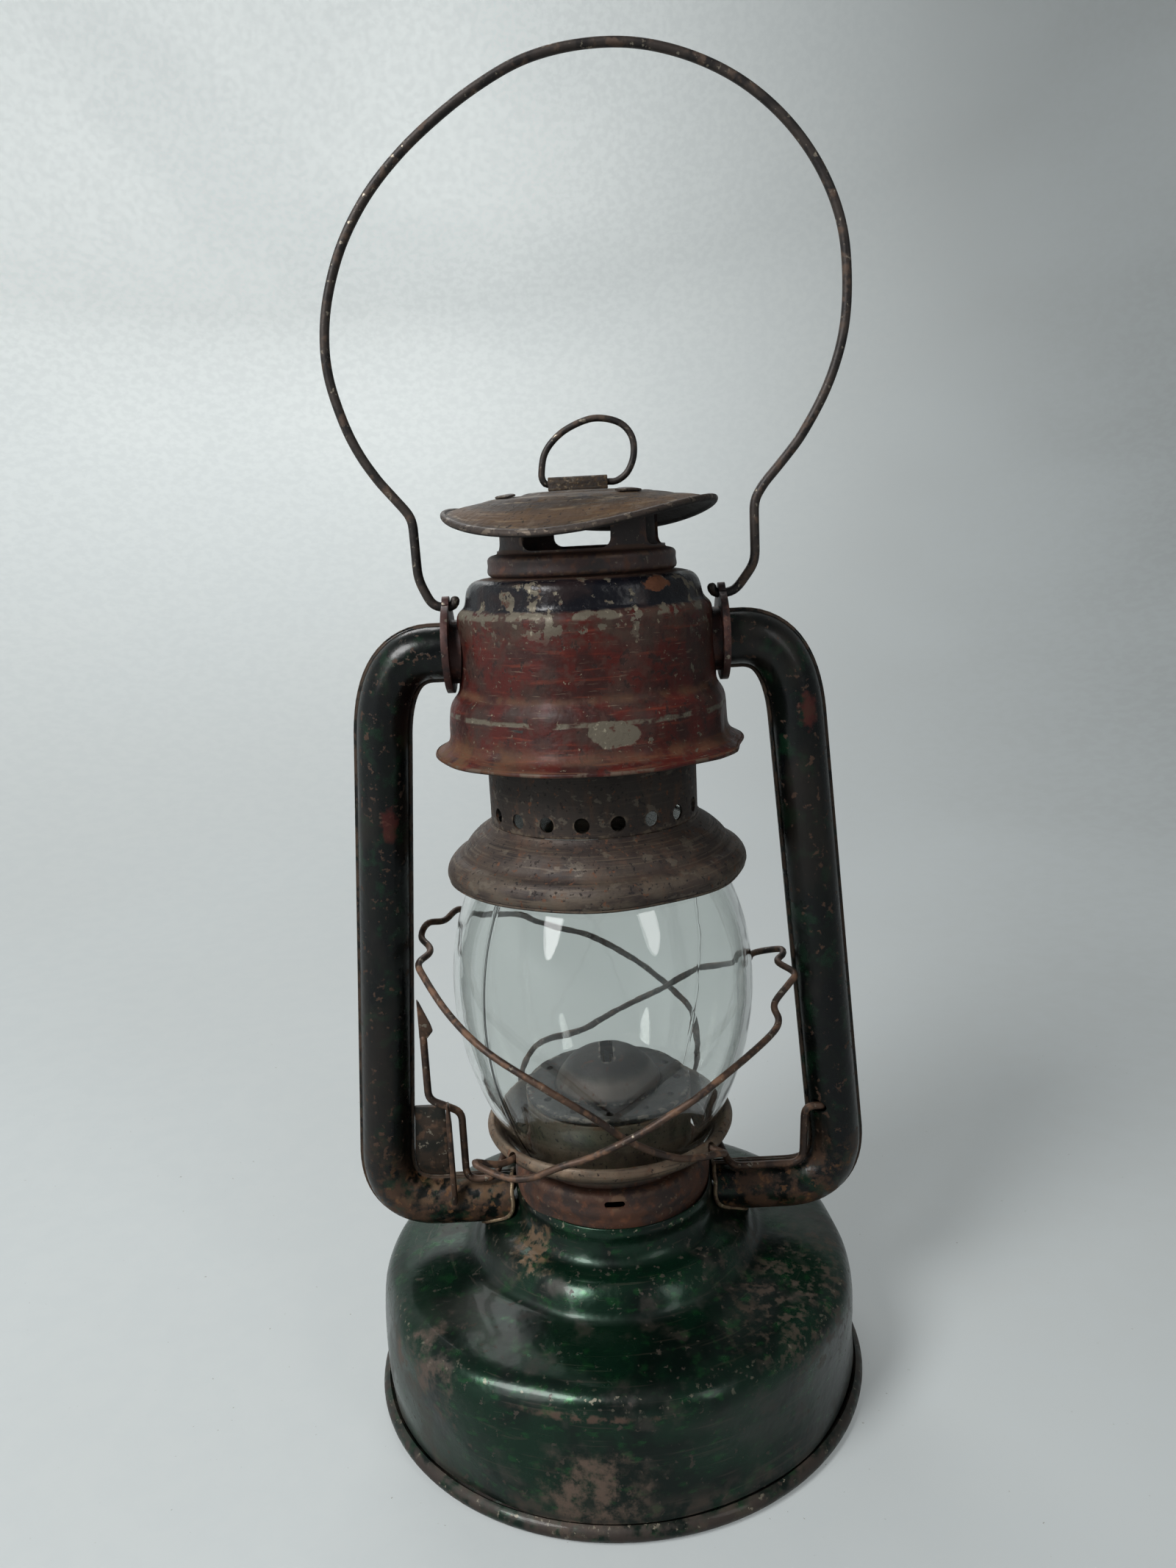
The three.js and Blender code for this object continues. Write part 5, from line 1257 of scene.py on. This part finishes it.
def make_solder(side_name, side):
    """The bead where a tube's end is soldered to the fount's neck."""
    points = []
    for across, height in arc_points((0, TUBE_HEIGHT), TUBE_RADIUS + 0.1, 0, 360, 48):
        reach = math.sqrt((fount_radius(height) + 0.35) ** 2 - across ** 2)
        points.append((side * reach, across, height))
    bead = new_object(f"arm_solder_{side_name}", wire_shape(points, SOLDER_WIRE, 8))
    dress(bead, "solder", body="frame")


# Web in the left corner and the upright blade beside it
WEB_OUT = 57.6
WEB_TOP = 102
WEB_THICK = 1.8
WEB_CORNER = 1.5
BLADE_POINT = 8


def make_web():
    line = tube_line()[ARM_STEPS - 1:ARM_STEPS + BEND_STEPS + 6]
    along = tangents(line)
    edge = line + (SEAM_REACH + 0.25) * sideways(along)
    edge = edge[(edge[:, 0] > WEB_OUT) & (edge[:, 1] < WEB_TOP)]
    low = (WEB_OUT, float(edge[0][1]))
    high = (float(edge[-1][0]), WEB_TOP)
    polygon = [(-x, z) for x, z in [low, *edge, high, (WEB_OUT + WEB_CORNER, WEB_TOP),
                                        (WEB_OUT, WEB_TOP - WEB_CORNER)]]
    web = new_object("corner_web_plate", prism(polygon, -WEB_THICK / 2, WEB_THICK / 2, "Y"))
    bevelled(web, 0.35)
    dress(web, "web", "corner_web", flat=True)
    (left, front, foot), (right, back, top) = box_mm("guide_blade")
    middle = (left + right) / 2
    corner, shoulder = top - BLADE_POINT, top - BLADE_POINT / 2
    polygon = [(left, foot), (right, foot), (right, corner), (right - 0.2, shoulder),
               (middle + 0.25, top), (middle - 0.25, top), (left + 0.2, shoulder), (left, corner)]
    blade = new_object("guide_blade_strip", prism(polygon, front, back, "Y"))
    bevelled(blade, 0.3)
    dress(blade, "guard", "guide_blade", flat=True)


# Bell, ears and bail
BELL_SECTIONS = [
    [(50.2, 226.75), (51, 227.6), (49.65, 228.65), (46.95, 230.4), (45.6, 232.6)],
    [(45.6, 232.6), (44.8, 241.3)],
    [(44.8, 241.3), (44.1, 243.95), (42.35, 246.21), (41.3, 247.6)],
    [(41.3, 247.6), (40.5, 271.4)],
    [(40.5, 271.4), (39.83, 272.7), (38.34, 273.9), (37.8, 275)],
    [(37.8, 275), (37.2, 279.7), (35.7, 281.9), (33, 282.8)],
    [(33, 282.8), (29.1, 282.8)],
]
BELL_LINE = outline(BELL_SECTIONS, step=0.9)
EAR_INNER = 42.9
EAR_THICK = 2.2
EAR_RADIUS = 14.4
EAR_LUG_ANGLE = 12
EAR_MIDDLE = 261.2
SADDLE_RADIUS = 10.2
PIVOT_HEIGHT = 274.4
PIVOT_HOLE = 1.8
LUG_RADIUS = 3.4
BAIL_WIRE = 3
BAIL_BOW = [
    (-52.24, 283.55), (-52.56, 302.67), (-60.8, 312.3), (-66.88, 321.78), (-71.2, 331.73),
    (-74.56, 345.06), (-74.88, 356.95), (-72.56, 369.48), (-67.2, 383.29), (-58.88, 396.13),
    (-48.48, 407.06), (-36.72, 416.37), (-23.92, 424.5), (-9.52, 431.1), (6.72, 434.2),
    (23.52, 433.8), (40, 429.4), (54.88, 421.67), (67.6, 410.59), (77.2, 397.1), (83.04, 382),
    (84.6, 365.94), (83.28, 350.68), (78.48, 336.07), (70.96, 322.74), (64.72, 314.87),
    (57.2, 306.52), (55.04, 302.34), (55.04, 283.55),
]
BAIL_STUB_OUT = 40.9
BAIL_STUB_TOP = 277.8
BAIL_ELBOW_OUT = 48.1


def bell_radius(height):
    upper = BELL_LINE[BELL_LINE[:, 1] > 241]
    return float(np.interp(height, upper[:, 1], upper[:, 0]))


def make_bell():
    bell = new_object("bell_shell", revolved(sheet_loop(BELL_LINE, start_roll=0.75)))
    dented(bell, depth=2.2, size=22, seed=2)
    dress(bell, "bell", "bell")
    for name, side in (("ear_left", -1), ("ear_right", 1)):
        polygon = arc_points((0, EAR_MIDDLE), EAR_RADIUS, 90 + EAR_LUG_ANGLE, 450 - EAR_LUG_ANGLE, 56)
        lug = arc_points((0, PIVOT_HEIGHT), LUG_RADIUS, 15, 165, 12)
        inner, outer = sorted((side * EAR_INNER, side * (EAR_INNER + EAR_THICK)))
        ear = new_object(name + "_plate", prism([*polygon, *lug], inner, outer, "X"))
        bevelled(ear, 0.5, 3)
        cut(ear, prism(disc((0, PIVOT_HEIGHT), PIVOT_HOLE), inner - 2, outer + 2, "X"))
        dress(ear, "ear", name, flat=True)
        rings = []
        for share in (0, 0.5, 1):
            ring = []
            for across, height in disc((0, TUBE_END[1]), SADDLE_RADIUS, 40):
                wall = math.sqrt(bell_radius(height) ** 2 - across ** 2) - 0.3
                ring.append((side * (wall + (EAR_INNER - wall) * share), across, height))
            rings.append(ring)
        saddle = new_object(name + "_saddle", lofted(rings))
        dress(saddle, "ear", body="frame")
    left = [(-BAIL_STUB_OUT, BAIL_STUB_TOP), (-BAIL_STUB_OUT, PIVOT_HEIGHT),
            (-BAIL_ELBOW_OUT, PIVOT_HEIGHT), *BAIL_BOW[:3]]
    right = [*BAIL_BOW[-3:], (BAIL_ELBOW_OUT, PIVOT_HEIGHT), (BAIL_STUB_OUT, PIVOT_HEIGHT),
             (BAIL_STUB_OUT, BAIL_STUB_TOP)]
    leg_left = bent(left, BAIL_WIRE)[:-1]
    leg_right = bent(right, BAIL_WIRE)[1:]
    bow = catmull(BAIL_BOW[2:-2], 6)
    flat = np.vstack([leg_left, bow[1:-1], leg_right])
    route = resample(np.stack([flat[:, 0], 0 * flat[:, 0], flat[:, 1]], axis=1), 1.1)
    bail = new_object("bail_bow", wire_shape(soften(route, 2), BAIL_WIRE, 14))
    dress(bail, "bail", "bail")


# Crown: skirt, pierced chimney, windowed collar, cap with its tabs, spring
SKIRT_SECTIONS = [
    [(48.3, 185.4), (49.3, 186.9), (49.6, 188.6), (49, 191.2), (46.9, 193.6)],
    [(46.9, 193.6), (44.5, 194.5), (43.7, 195.9), (42.3, 197.9)],
    [(42.3, 197.9), (39.44, 200.48), (35.8, 202.8), (34.4, 204.5)],
]
CHIMNEY_SECTIONS = [[(34.1, 204.2), (34.1, 245)], [(34.1, 245), (33.2, 246.8), (27.7, 248.7)]]
CHIMNEY_HOLES = 19
CHIMNEY_HOLE_RADIUS = 2.45
CHIMNEY_HOLE_HEIGHT = 208.6
CHIMNEY_FIRST_HOLE = 263
CHIMNEY_CUT = (28, 40)
COLLAR_SECTIONS = [
    [(28.4, 249), (28.4, 283.1)],
    [(28.4, 283.1), (29.6, 283.4), (30.1, 284.6), (29.7, 286.9), (30, 288.3), (29.2, 289.5)],
    [(29.2, 289.5), (28, 289.8), (26.9, 290.2), (26.6, 291), (26.6, 305.2)],
]
WINDOWS = 4
WINDOW_WIDTH = 27.4
WINDOW_SILL = 291
WINDOW_CORNER = 2.8
WINDOW_TURN = -11.25
WINDOW_CUT = (15, 45)
CAP_POINTS = [
    [(43.6, 300.4), (42.2, 300.75), (40.55, 301.41), (36.62, 303.52), (30.52, 306.02),
     (27, 306.8), (23.98, 307.19)],
    [(23.98, 307.19), (19.4, 307.19)],
    [(19.4, 307.19), (18, 307.5), (16.57, 308.2)],
    [(16.57, 308.2), (0, 308.2)],
]
CAP_THICK = 1.1
CAP_RIM_ROLL = 1.15
CAP_FLAT_REACH = 30.5
CAP_REACH = 43.6
CAP_WARP = 4.2
CAP_WARP_TURN = -20
TAB_SIZE = (3.4, 8, 0.9)
TAB_BEVEL = 0.28
TAB_SAG = 0.25
TAB_TAPER = 0.4
TAB_OUT = 26.6
TAB_SEAT = 306.98
TAB_LEAN = 0.16
SPRING_RADIUS = 32.1
SPRING_LOW = 248.25
SPRING_HIGH = 280.8
SPRING_TURNS = 4
SPRING_STEPS = 32
SPRING_WIRE = 1.2


def cap_lift(x, y):
    """How far the bent cap's sheet is lifted at a point."""
    share = max(math.hypot(x, y) - CAP_FLAT_REACH, 0) / (CAP_REACH - CAP_FLAT_REACH)
    return CAP_WARP * share * math.cos(2 * (math.atan2(y, x) - math.radians(CAP_WARP_TURN)))


def make_crown():
    skirt_line = outline(SKIRT_SECTIONS, step=0.9, rounds=1)
    skirt = new_object("skirt_shell", revolved(sheet_loop(skirt_line, start_roll=0.7)))
    dented(skirt, depth=1.6, size=26, seed=3)
    dress(skirt, "tin", "skirt")
    chimney_line = outline(CHIMNEY_SECTIONS, step=1.3, rounds=1)
    chimney = new_object("chimney_shell", revolved(sheet_loop(chimney_line), 152))
    hole = disc((0, CHIMNEY_HOLE_HEIGHT), CHIMNEY_HOLE_RADIUS)
    cut_round(chimney, hole, *CHIMNEY_CUT, "X", even_turns(CHIMNEY_HOLES, CHIMNEY_FIRST_HOLE))
    dress(chimney, "tin", "chimney")
    collar_line = outline(COLLAR_SECTIONS, step=0.8, rounds=1)
    collar = new_object("collar_shell", revolved(sheet_loop(collar_line)))
    half = WINDOW_WIDTH / 2
    round_foot = WINDOW_SILL + WINDOW_CORNER
    window = [(half + 0.8, 320), (half, 300), (half - 0.2, WINDOW_SILL + 3),
              *arc_points((half - 3, round_foot), WINDOW_CORNER, 0, -90, 5),
              *arc_points((3 - half, round_foot), WINDOW_CORNER, 270, 180, 5),
              (0.2 - half, WINDOW_SILL + 3), (-half, 300), (-half - 0.8, 320)]
    cut_round(collar, window, *WINDOW_CUT, "X", even_turns(WINDOWS, WINDOW_TURN))
    dress(collar, "collar", "window_collar")
    make_cap()
    make_spring()


def make_cap():
    line = outline(CAP_POINTS, step=0.9, rounds=1)
    loop = sheet_loop(line, CAP_THICK, start_roll=CAP_RIM_ROLL, to_axis=True)
    points, faces = revolved(loop)
    points = [(x, y, z + cap_lift(x, y)) for x, y, z in points]
    cap = new_object("cap_disc", (points, faces))
    dress(cap, "cap", "cap")
    for i in range(WINDOWS):
        turn = WINDOW_TURN + 360 * (i + 0.5) / WINDOWS
        points, faces = bevel_strip(TAB_SIZE, TAB_BEVEL)
        points = [(x + TAB_OUT, y, z + TAB_SEAT - TAB_LEAN * x) for x, y, z in points]
        piece = new_object(f"cap_tab_{i + 1}_fold", moved((points, faces), turn=turn))
        dress(piece, "cap", f"cap_tab_{i + 1}")


def bevel_strip(size, edge, steps=10):
    """A short folded strip that sags a little from its middle to its ends."""
    width, length, thick = size
    rings = []
    for k in range(steps + 1):
        share = 2 * k / steps - 1
        drop = TAB_SAG * share ** 2
        narrow = TAB_TAPER * max(abs(share) - 0.7, 0) / 0.3
        half = width / 2 - narrow
        ring = [(-half, edge), (edge - half, 0), (half - edge, 0), (half, edge),
                (half, thick - edge), (half - edge, thick), (edge - half, thick),
                (-half, thick - edge)]
        rings.append([(x, share * length / 2, max(z - drop, 0) if z > thick / 2 else z) for x, z in ring])
    return lofted(rings)


def make_spring():
    """The coil in two halves: the lower gives with the crown, the upper with the globe's lift."""
    steps = SPRING_TURNS * SPRING_STEPS
    flat = arc_points((0, 0), SPRING_RADIUS, 0, 360 * SPRING_TURNS, steps)
    heights = np.linspace(SPRING_LOW, SPRING_HIGH, steps + 1)
    points = np.column_stack([flat, heights])
    half, middle, edge = steps // 2, (SPRING_LOW + SPRING_HIGH) / 2, SPRING_WIRE / 2
    material, slot = LOOKS["bail"]
    halves = [
        ("lower", points[:half + 1], "crown", "globe_carriage", SPRING_LOW - edge, middle),
        ("upper", points[half:], "globe_carriage", "frame", middle, SPRING_HIGH + edge),
    ]
    for side, line, below, above, low, high in halves:
        coil = new_object("crown_spring_" + side, wire_shape(line, SPRING_WIRE, 8))
        coil.data.shade_smooth()
        coil.data.materials.append(material)
        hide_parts("crown_spring")
        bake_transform(coil, below, above, start=(0, 0, low * MM), end=(0, 0, high * MM))


# Lift ring and its clip on the cap
RING_WIRE = 2.1
RING_PIVOT = 310.65
RING_HALF_WIDTH = 15
RING_RISE = 19.2
RING_SHARES = [
    (-0.3, 0), (-0.63, 0), (-0.725, 0.07), (-0.74, 0.2), (-0.66, 0.48), (-0.43, 0.71),
    (-0.08, 0.89), (0.41, 1), (0.9, 0.92), (1.16, 0.7), (1.19, 0.4), (1.05, 0.14), (0.82, 0.01),
    (0.62, 0), (0.3, 0),
]
CLIP_LENGTH = 18.6
CLIP_BORE = 1.35
CLIP_FOOT = 308.5


def make_ring():
    bow = [(x * RING_HALF_WIDTH, 0, RING_PIVOT + z * RING_RISE) for x, z in RING_SHARES]
    line = np.vstack([[(-0.4, 0, RING_PIVOT)], catmull(bow, 6), [(0.4, 0, RING_PIVOT)]])
    ring = new_object("lift_ring_wire", wire_shape(resample(line, 0.9), RING_WIRE, 12))
    dress(ring, "bail", "lift_ring")
    reach = CLIP_BORE + 3 * SHEET
    outer = arc_points((0, RING_PIVOT), CLIP_BORE + SHEET, 0, 180, 14)
    inner = arc_points((0, RING_PIVOT), CLIP_BORE, 180, 0, 14)
    polygon = [(reach, CLIP_FOOT), (reach, CLIP_FOOT + SHEET), (CLIP_BORE + SHEET, CLIP_FOOT + SHEET),
               *outer, (-CLIP_BORE - SHEET, CLIP_FOOT + SHEET), (-reach, CLIP_FOOT + SHEET),
               (-reach, CLIP_FOOT), (-CLIP_BORE, CLIP_FOOT), *inner, (CLIP_BORE, CLIP_FOOT)]
    clip = new_object("ring_clip_strap", prism(polygon, -CLIP_LENGTH / 2, CLIP_LENGTH / 2, "X"))
    bevelled(clip, 0.2)
    dress(clip, "cap", "ring_clip", flat=True)


# Globe, its plate and the guard wires
GLOBE_POINTS = [
    [(35.6, 90.97), (35.6, 93.13)],
    [(35.6, 93.13), (38.64, 98.53), (42.74, 107.72), (47.15, 120.41), (49.74, 132.57), (50.8, 145),
     (50.14, 157.66), (47.98, 169.17), (43.83, 180.68), (38.52, 190.46), (34.4, 197.6)],
    [(34.4, 197.6), (34.2, 199), (34.2, 202.55)],
]
GLASS_THICK = 2.2
PLATE_POINTS = [
    (30, 89.6), (36.1, 89.6), (41.85, 93.2), (43, 95.5), (41.85, 97.8), (40.7, 97.8), (38.4, 95.5),
    (36.1, 90.67), (30, 90.67),
]
PLATE_HOLE_RADIUS = 2
PLATE_HOLE_HEIGHT = 95.5
PLATE_CUT = (34, 48)
PLATE_HOLE_PLACES = [(0.72, -0.6), (0.72, 0.6), (-0.72, -0.6), (-0.72, 0.6)]
GUARD_WIRE = 2.3
GUARD_A = [
    (29.5, -24.6, 95.5), (36.6, -30.5, 95.5), (33.6, -34.8, 97.8), (28.1, -38.2, 98.7),
    (18.9, -43.2, 102.1), (5.7, -46.8, 110.2), (-5.5, -50.2, 121), (-19.3, -50.7, 131.3),
    (-37.3, -42.6, 140.9), (-49.7, -29.1, 148), (-58.9, -15.1, 155.8), (-61, -9.4, 158.3),
    (-58.3, -2.1, 158.9), (-58.9, 3.1, 159.5), (-62.2, 8.3, 161.3), (-60.1, 12.5, 164.8),
    (-54.9, 17.2, 163.8), (-50.6, 23.4, 165.7), (-45.8, 31.2, 161.7), (-31.1, 42.6, 156.7),
    (-23.2, 49.4, 150.5), (-4.9, 52.5, 143.4), (10.1, 51.5, 134.7), (20.1, 50.4, 127.3),
    (29.3, 46.3, 120.1), (35.4, 37.4, 112.4), (34.8, 29, 95.5), (29.5, 24.6, 95.5),
]
GUARD_B = [
    (-29.5, -24.6, 95.5), (-36.6, -30.5, 95.5), (-44.5, -35.1, 99.3), (-40.9, -37.4, 97.8),
    (-33.6, -40.6, 96.3), (-25.9, -43.7, 97.8), (-16.5, -46.8, 102.8), (-7.9, -48.4, 106),
    (0.9, -50.4, 110.8), (9.5, -51.7, 115.8), (17.8, -52, 121), (26.4, -50.2, 125.5),
    (35.4, -45, 129.6), (45, -36.9, 132.8), (53.7, -27, 135.1), (56.7, -20.8, 136.8),
    (56.1, -15.1, 139.8), (62.2, -9.9, 144.8), (64.7, -6.2, 146.8), (59.8, 0, 148.8),
    (62.8, 5.7, 149.3), (62.2, 9.4, 149.8), (54.3, 19.8, 144.8), (51.9, 26, 139.3),
    (37.2, 40, 132.1), (24.1, 44.7, 123.5), (9.2, 48.4, 115.3), (-4.9, 47.3, 108.5),
    (-13.4, 45.2, 106), (-27.4, 39.5, 104.8), (-34.8, 29, 95.5), (-29.5, 24.6, 95.5),
]


def make_globe():
    line = outline(GLOBE_POINTS, step=1.6, rounds=1)
    globe = new_object("globe_glass_shell", revolved(sheet_loop(line, GLASS_THICK), 160))
    dress(globe, "glass", "globe", sharp=60)
    closed = np.array(PLATE_POINTS + PLATE_POINTS[:1], float)
    loop = soften(resample(closed, 0.6), 1)[:-1]
    plate = new_object("globe_plate_dish", revolved(loop, NARROW))
    hole = arc_points((0, PLATE_HOLE_HEIGHT), PLATE_HOLE_RADIUS, 0, 345, 19)
    turns = [math.degrees(math.atan2(y, x)) for x, y in PLATE_HOLE_PLACES]
    cut_round(plate, hole, *PLATE_CUT, "X", turns)
    dress(plate, "plate", "globe_plate")
    for name, points in (("guard_wire_a", GUARD_A), ("guard_wire_b", GUARD_B)):
        route = soften(resample(catmull(points, 6), 1.2), 1)
        guard = new_object(name + "_bow", wire_shape(route, GUARD_WIRE))
        dress(guard, "guard", name)


# Lift wire: pivot in the right tube, loop behind the burner, lever up the left tube
LEVER_WIRE = 2.6
LEVER_POINTS = [
    (74.8, -5.6, 97.5), (67.5, -5.6, 97.5), (66.63, -5.6, 76), (41.6, -5.6, 76), (39, 0, 79.8),
    (35.35, 16.48, 83.6), (22.37, 31.95, 83.6), (0, 39, 83.6), (-22.37, 31.95, 83.6),
    (-35.35, 16.48, 83.6), (-39, 0, 79.8), (-41.6, -5.6, 76), (-51.2, -5.6, 76),
    (-51.2, -5.6, 101.8), (-56.4, -5.6, 104.4), (-62.2, -5.6, 107), (-62.2, -5.6, 131),
]
CATCH_TOP = 144
CATCH_LENGTH = 13
CATCH_REACH = 3.4


def make_lever():
    route = resample(bent(LEVER_POINTS, 2 * LEVER_WIRE), 1.1)
    wire = wire_shape(route, LEVER_WIRE)
    out, place = LEVER_POINTS[-1][0], LEVER_POINTS[-1][1]
    low = CATCH_TOP - CATCH_LENGTH - LEVER_WIRE / 2
    polygon = [(out - LEVER_WIRE / 2, low), (out + LEVER_WIRE / 2, low),
               (out + CATCH_REACH, low + CATCH_LENGTH / 5), (out + CATCH_REACH - 0.6, low + 5),
               (out - 0.6, CATCH_TOP - 1), (out - LEVER_WIRE / 2, CATCH_TOP)]
    half = LEVER_WIRE / 4
    plate = prism(polygon, place - half, place + half, "Y")
    lever = new_object("lift_lever_wire", wire)
    dress(lever, "guard", "lift_lever")
    catch = bevelled(new_object("lift_lever_catch", plate), 0.3)
    dress(catch, "guard", body="lift_lever", flat=True)


# Nodes whose shape stays as it is and only gets a finish
KEPT_NODES = {
    "burner_seat": "burner", "wick_tube": "brass", "wick_shaft": "brass",
    "wick_wheel_front": "brass", "wick_wheel_back": "brass", "filler_gasket": "cork",
    "bell_sleeve": "inner",
}


def finish_kept_nodes():
    for name, look in KEPT_NODES.items():
        for slot in frame["nodes"][name].material_slots:
            slot.material = LOOKS[look][0]


# Floor and backdrop: one pale sheet that turns up into a round wall, with painted light and shade in its
# colour: paler up the wall, darker to the right and dimmer in front
FLOOR_FLAT = 420
FLOOR_DROP = -0.02
FLOOR_REACH = 2100
WALL_HEIGHT = 2900
PAPER_GLOW = 0.62


def make_stage():
    cove = FLOOR_REACH - FLOOR_FLAT
    points = [(0.5, FLOOR_DROP), (FLOOR_FLAT * 0.5, FLOOR_DROP), (FLOOR_FLAT, FLOOR_DROP)]
    points += list(arc_points((FLOOR_FLAT, cove), cove, -90, 0, 40))[1:]
    points += [(FLOOR_REACH, WALL_HEIGHT)]
    turns = np.linspace(0, 2 * math.pi, NARROW, endpoint=False)
    rings = [[(radius * math.cos(a), radius * math.sin(a), height) for a in turns]
             for radius, height in points]
    mesh = plain_mesh("backdrop", lofted(rings, capped=False))
    mesh.shade_smooth()
    s = Surface("backdrop_paper", (136, 140, 140), 0.9)
    x, y, z = s.axis("X"), s.axis("Y"), s.axis("Z")
    # painted light: paler up the wall than on the floor
    s.layer(s.band(z, -0.3, 1.0), (214, 219, 218))
    # painted shade: darker towards the right
    s.layer(s.band(x, -0.3, 0.95), (92, 96, 97), strength=0.8)
    # painted shade: the wall in front of the lantern darker
    s.layer(s.band(y, -1.4, -0.5, invert=True), (100, 104, 106))
    s.layer(s.patches(500, 0.4, 0.65, detail=2), (160, 167, 169), strength=0.12)
    s.layer(s.patches(11, 0.38, 0.62, detail=6, seed=5, stretch=(1, 1, 0.7)), (140, 146, 148),
            strength=0.12)
    near = s.band(s.math("MULTIPLY", s.radius(), MM), 0.3, 0.5, invert=True)
    specks = s.patchy(near, 2.2, 0.735, 0.76, detail=3, seed=2)
    s.layer(specks, (96, 92, 84), strength=0.7)
    s.grain(60, 0.3, seed=4)
    mesh.materials.append(s.finish(specular=0.15))
    seen = s.node("ShaderNodeLightPath")
    direct = s.either(seen.outputs["Is Camera Ray"], seen.outputs["Is Glossy Ray"],
                      seen.outputs["Is Transmission Ray"])
    s.feed(s.shader.inputs["Emission Color"], s.colour)
    s.feed(s.shader.inputs["Emission Strength"], s.math("MULTIPLY", direct, PAPER_GLOW))
    linked("backdrop", mesh)


# Light: a large soft lamp at the upper left front, two tall windows in front, a lamp behind, and
# a dim sky
LAMPS = [
    ("key", (-850, -800, 1250), (0, 0, 180), (650, 650), 27.0),
    ("window_left", (-850, -980, 860), (0, 0, 160), (340, 950), 4.6),
    ("window_right", (870, -960, 860), (0, 0, 160), (340, 950), 3.1),
    ("back", (-300, 1100, 1300), (0, 0, 200), (900, 900), 9.0),
]
SKY = (0.88, 0.93, 0.95)
SKY_STRENGTH = 0.22


def make_light():
    for name, place, target, size, power in LAMPS:
        data = bpy.data.lights.new(name, "AREA")
        data.shape = "ELLIPSE"
        data.size = size[0] * MM
        data.size_y = size[1] * MM
        data.energy = power
        lamp = linked(name, data)
        lamp.location = Vector(place) * MM
        lamp.rotation_euler = (Vector(target) - Vector(place)).to_track_quat("-Z", "Y").to_euler()
    world = bpy.data.worlds.new("sky")
    bpy.context.scene.world = world
    world.use_nodes = True
    background = world.node_tree.nodes["Background"]
    background.inputs["Color"].default_value = (*SKY, 1)
    background.inputs["Strength"].default_value = SKY_STRENGTH


make_fount()
make_filler()
make_burner()
make_tubes()
make_web()
make_bell()
make_crown()
make_ring()
make_globe()
make_lever()
finish_kept_nodes()
make_stage()
make_light()

bpy.context.scene.view_settings.view_transform = "Standard"
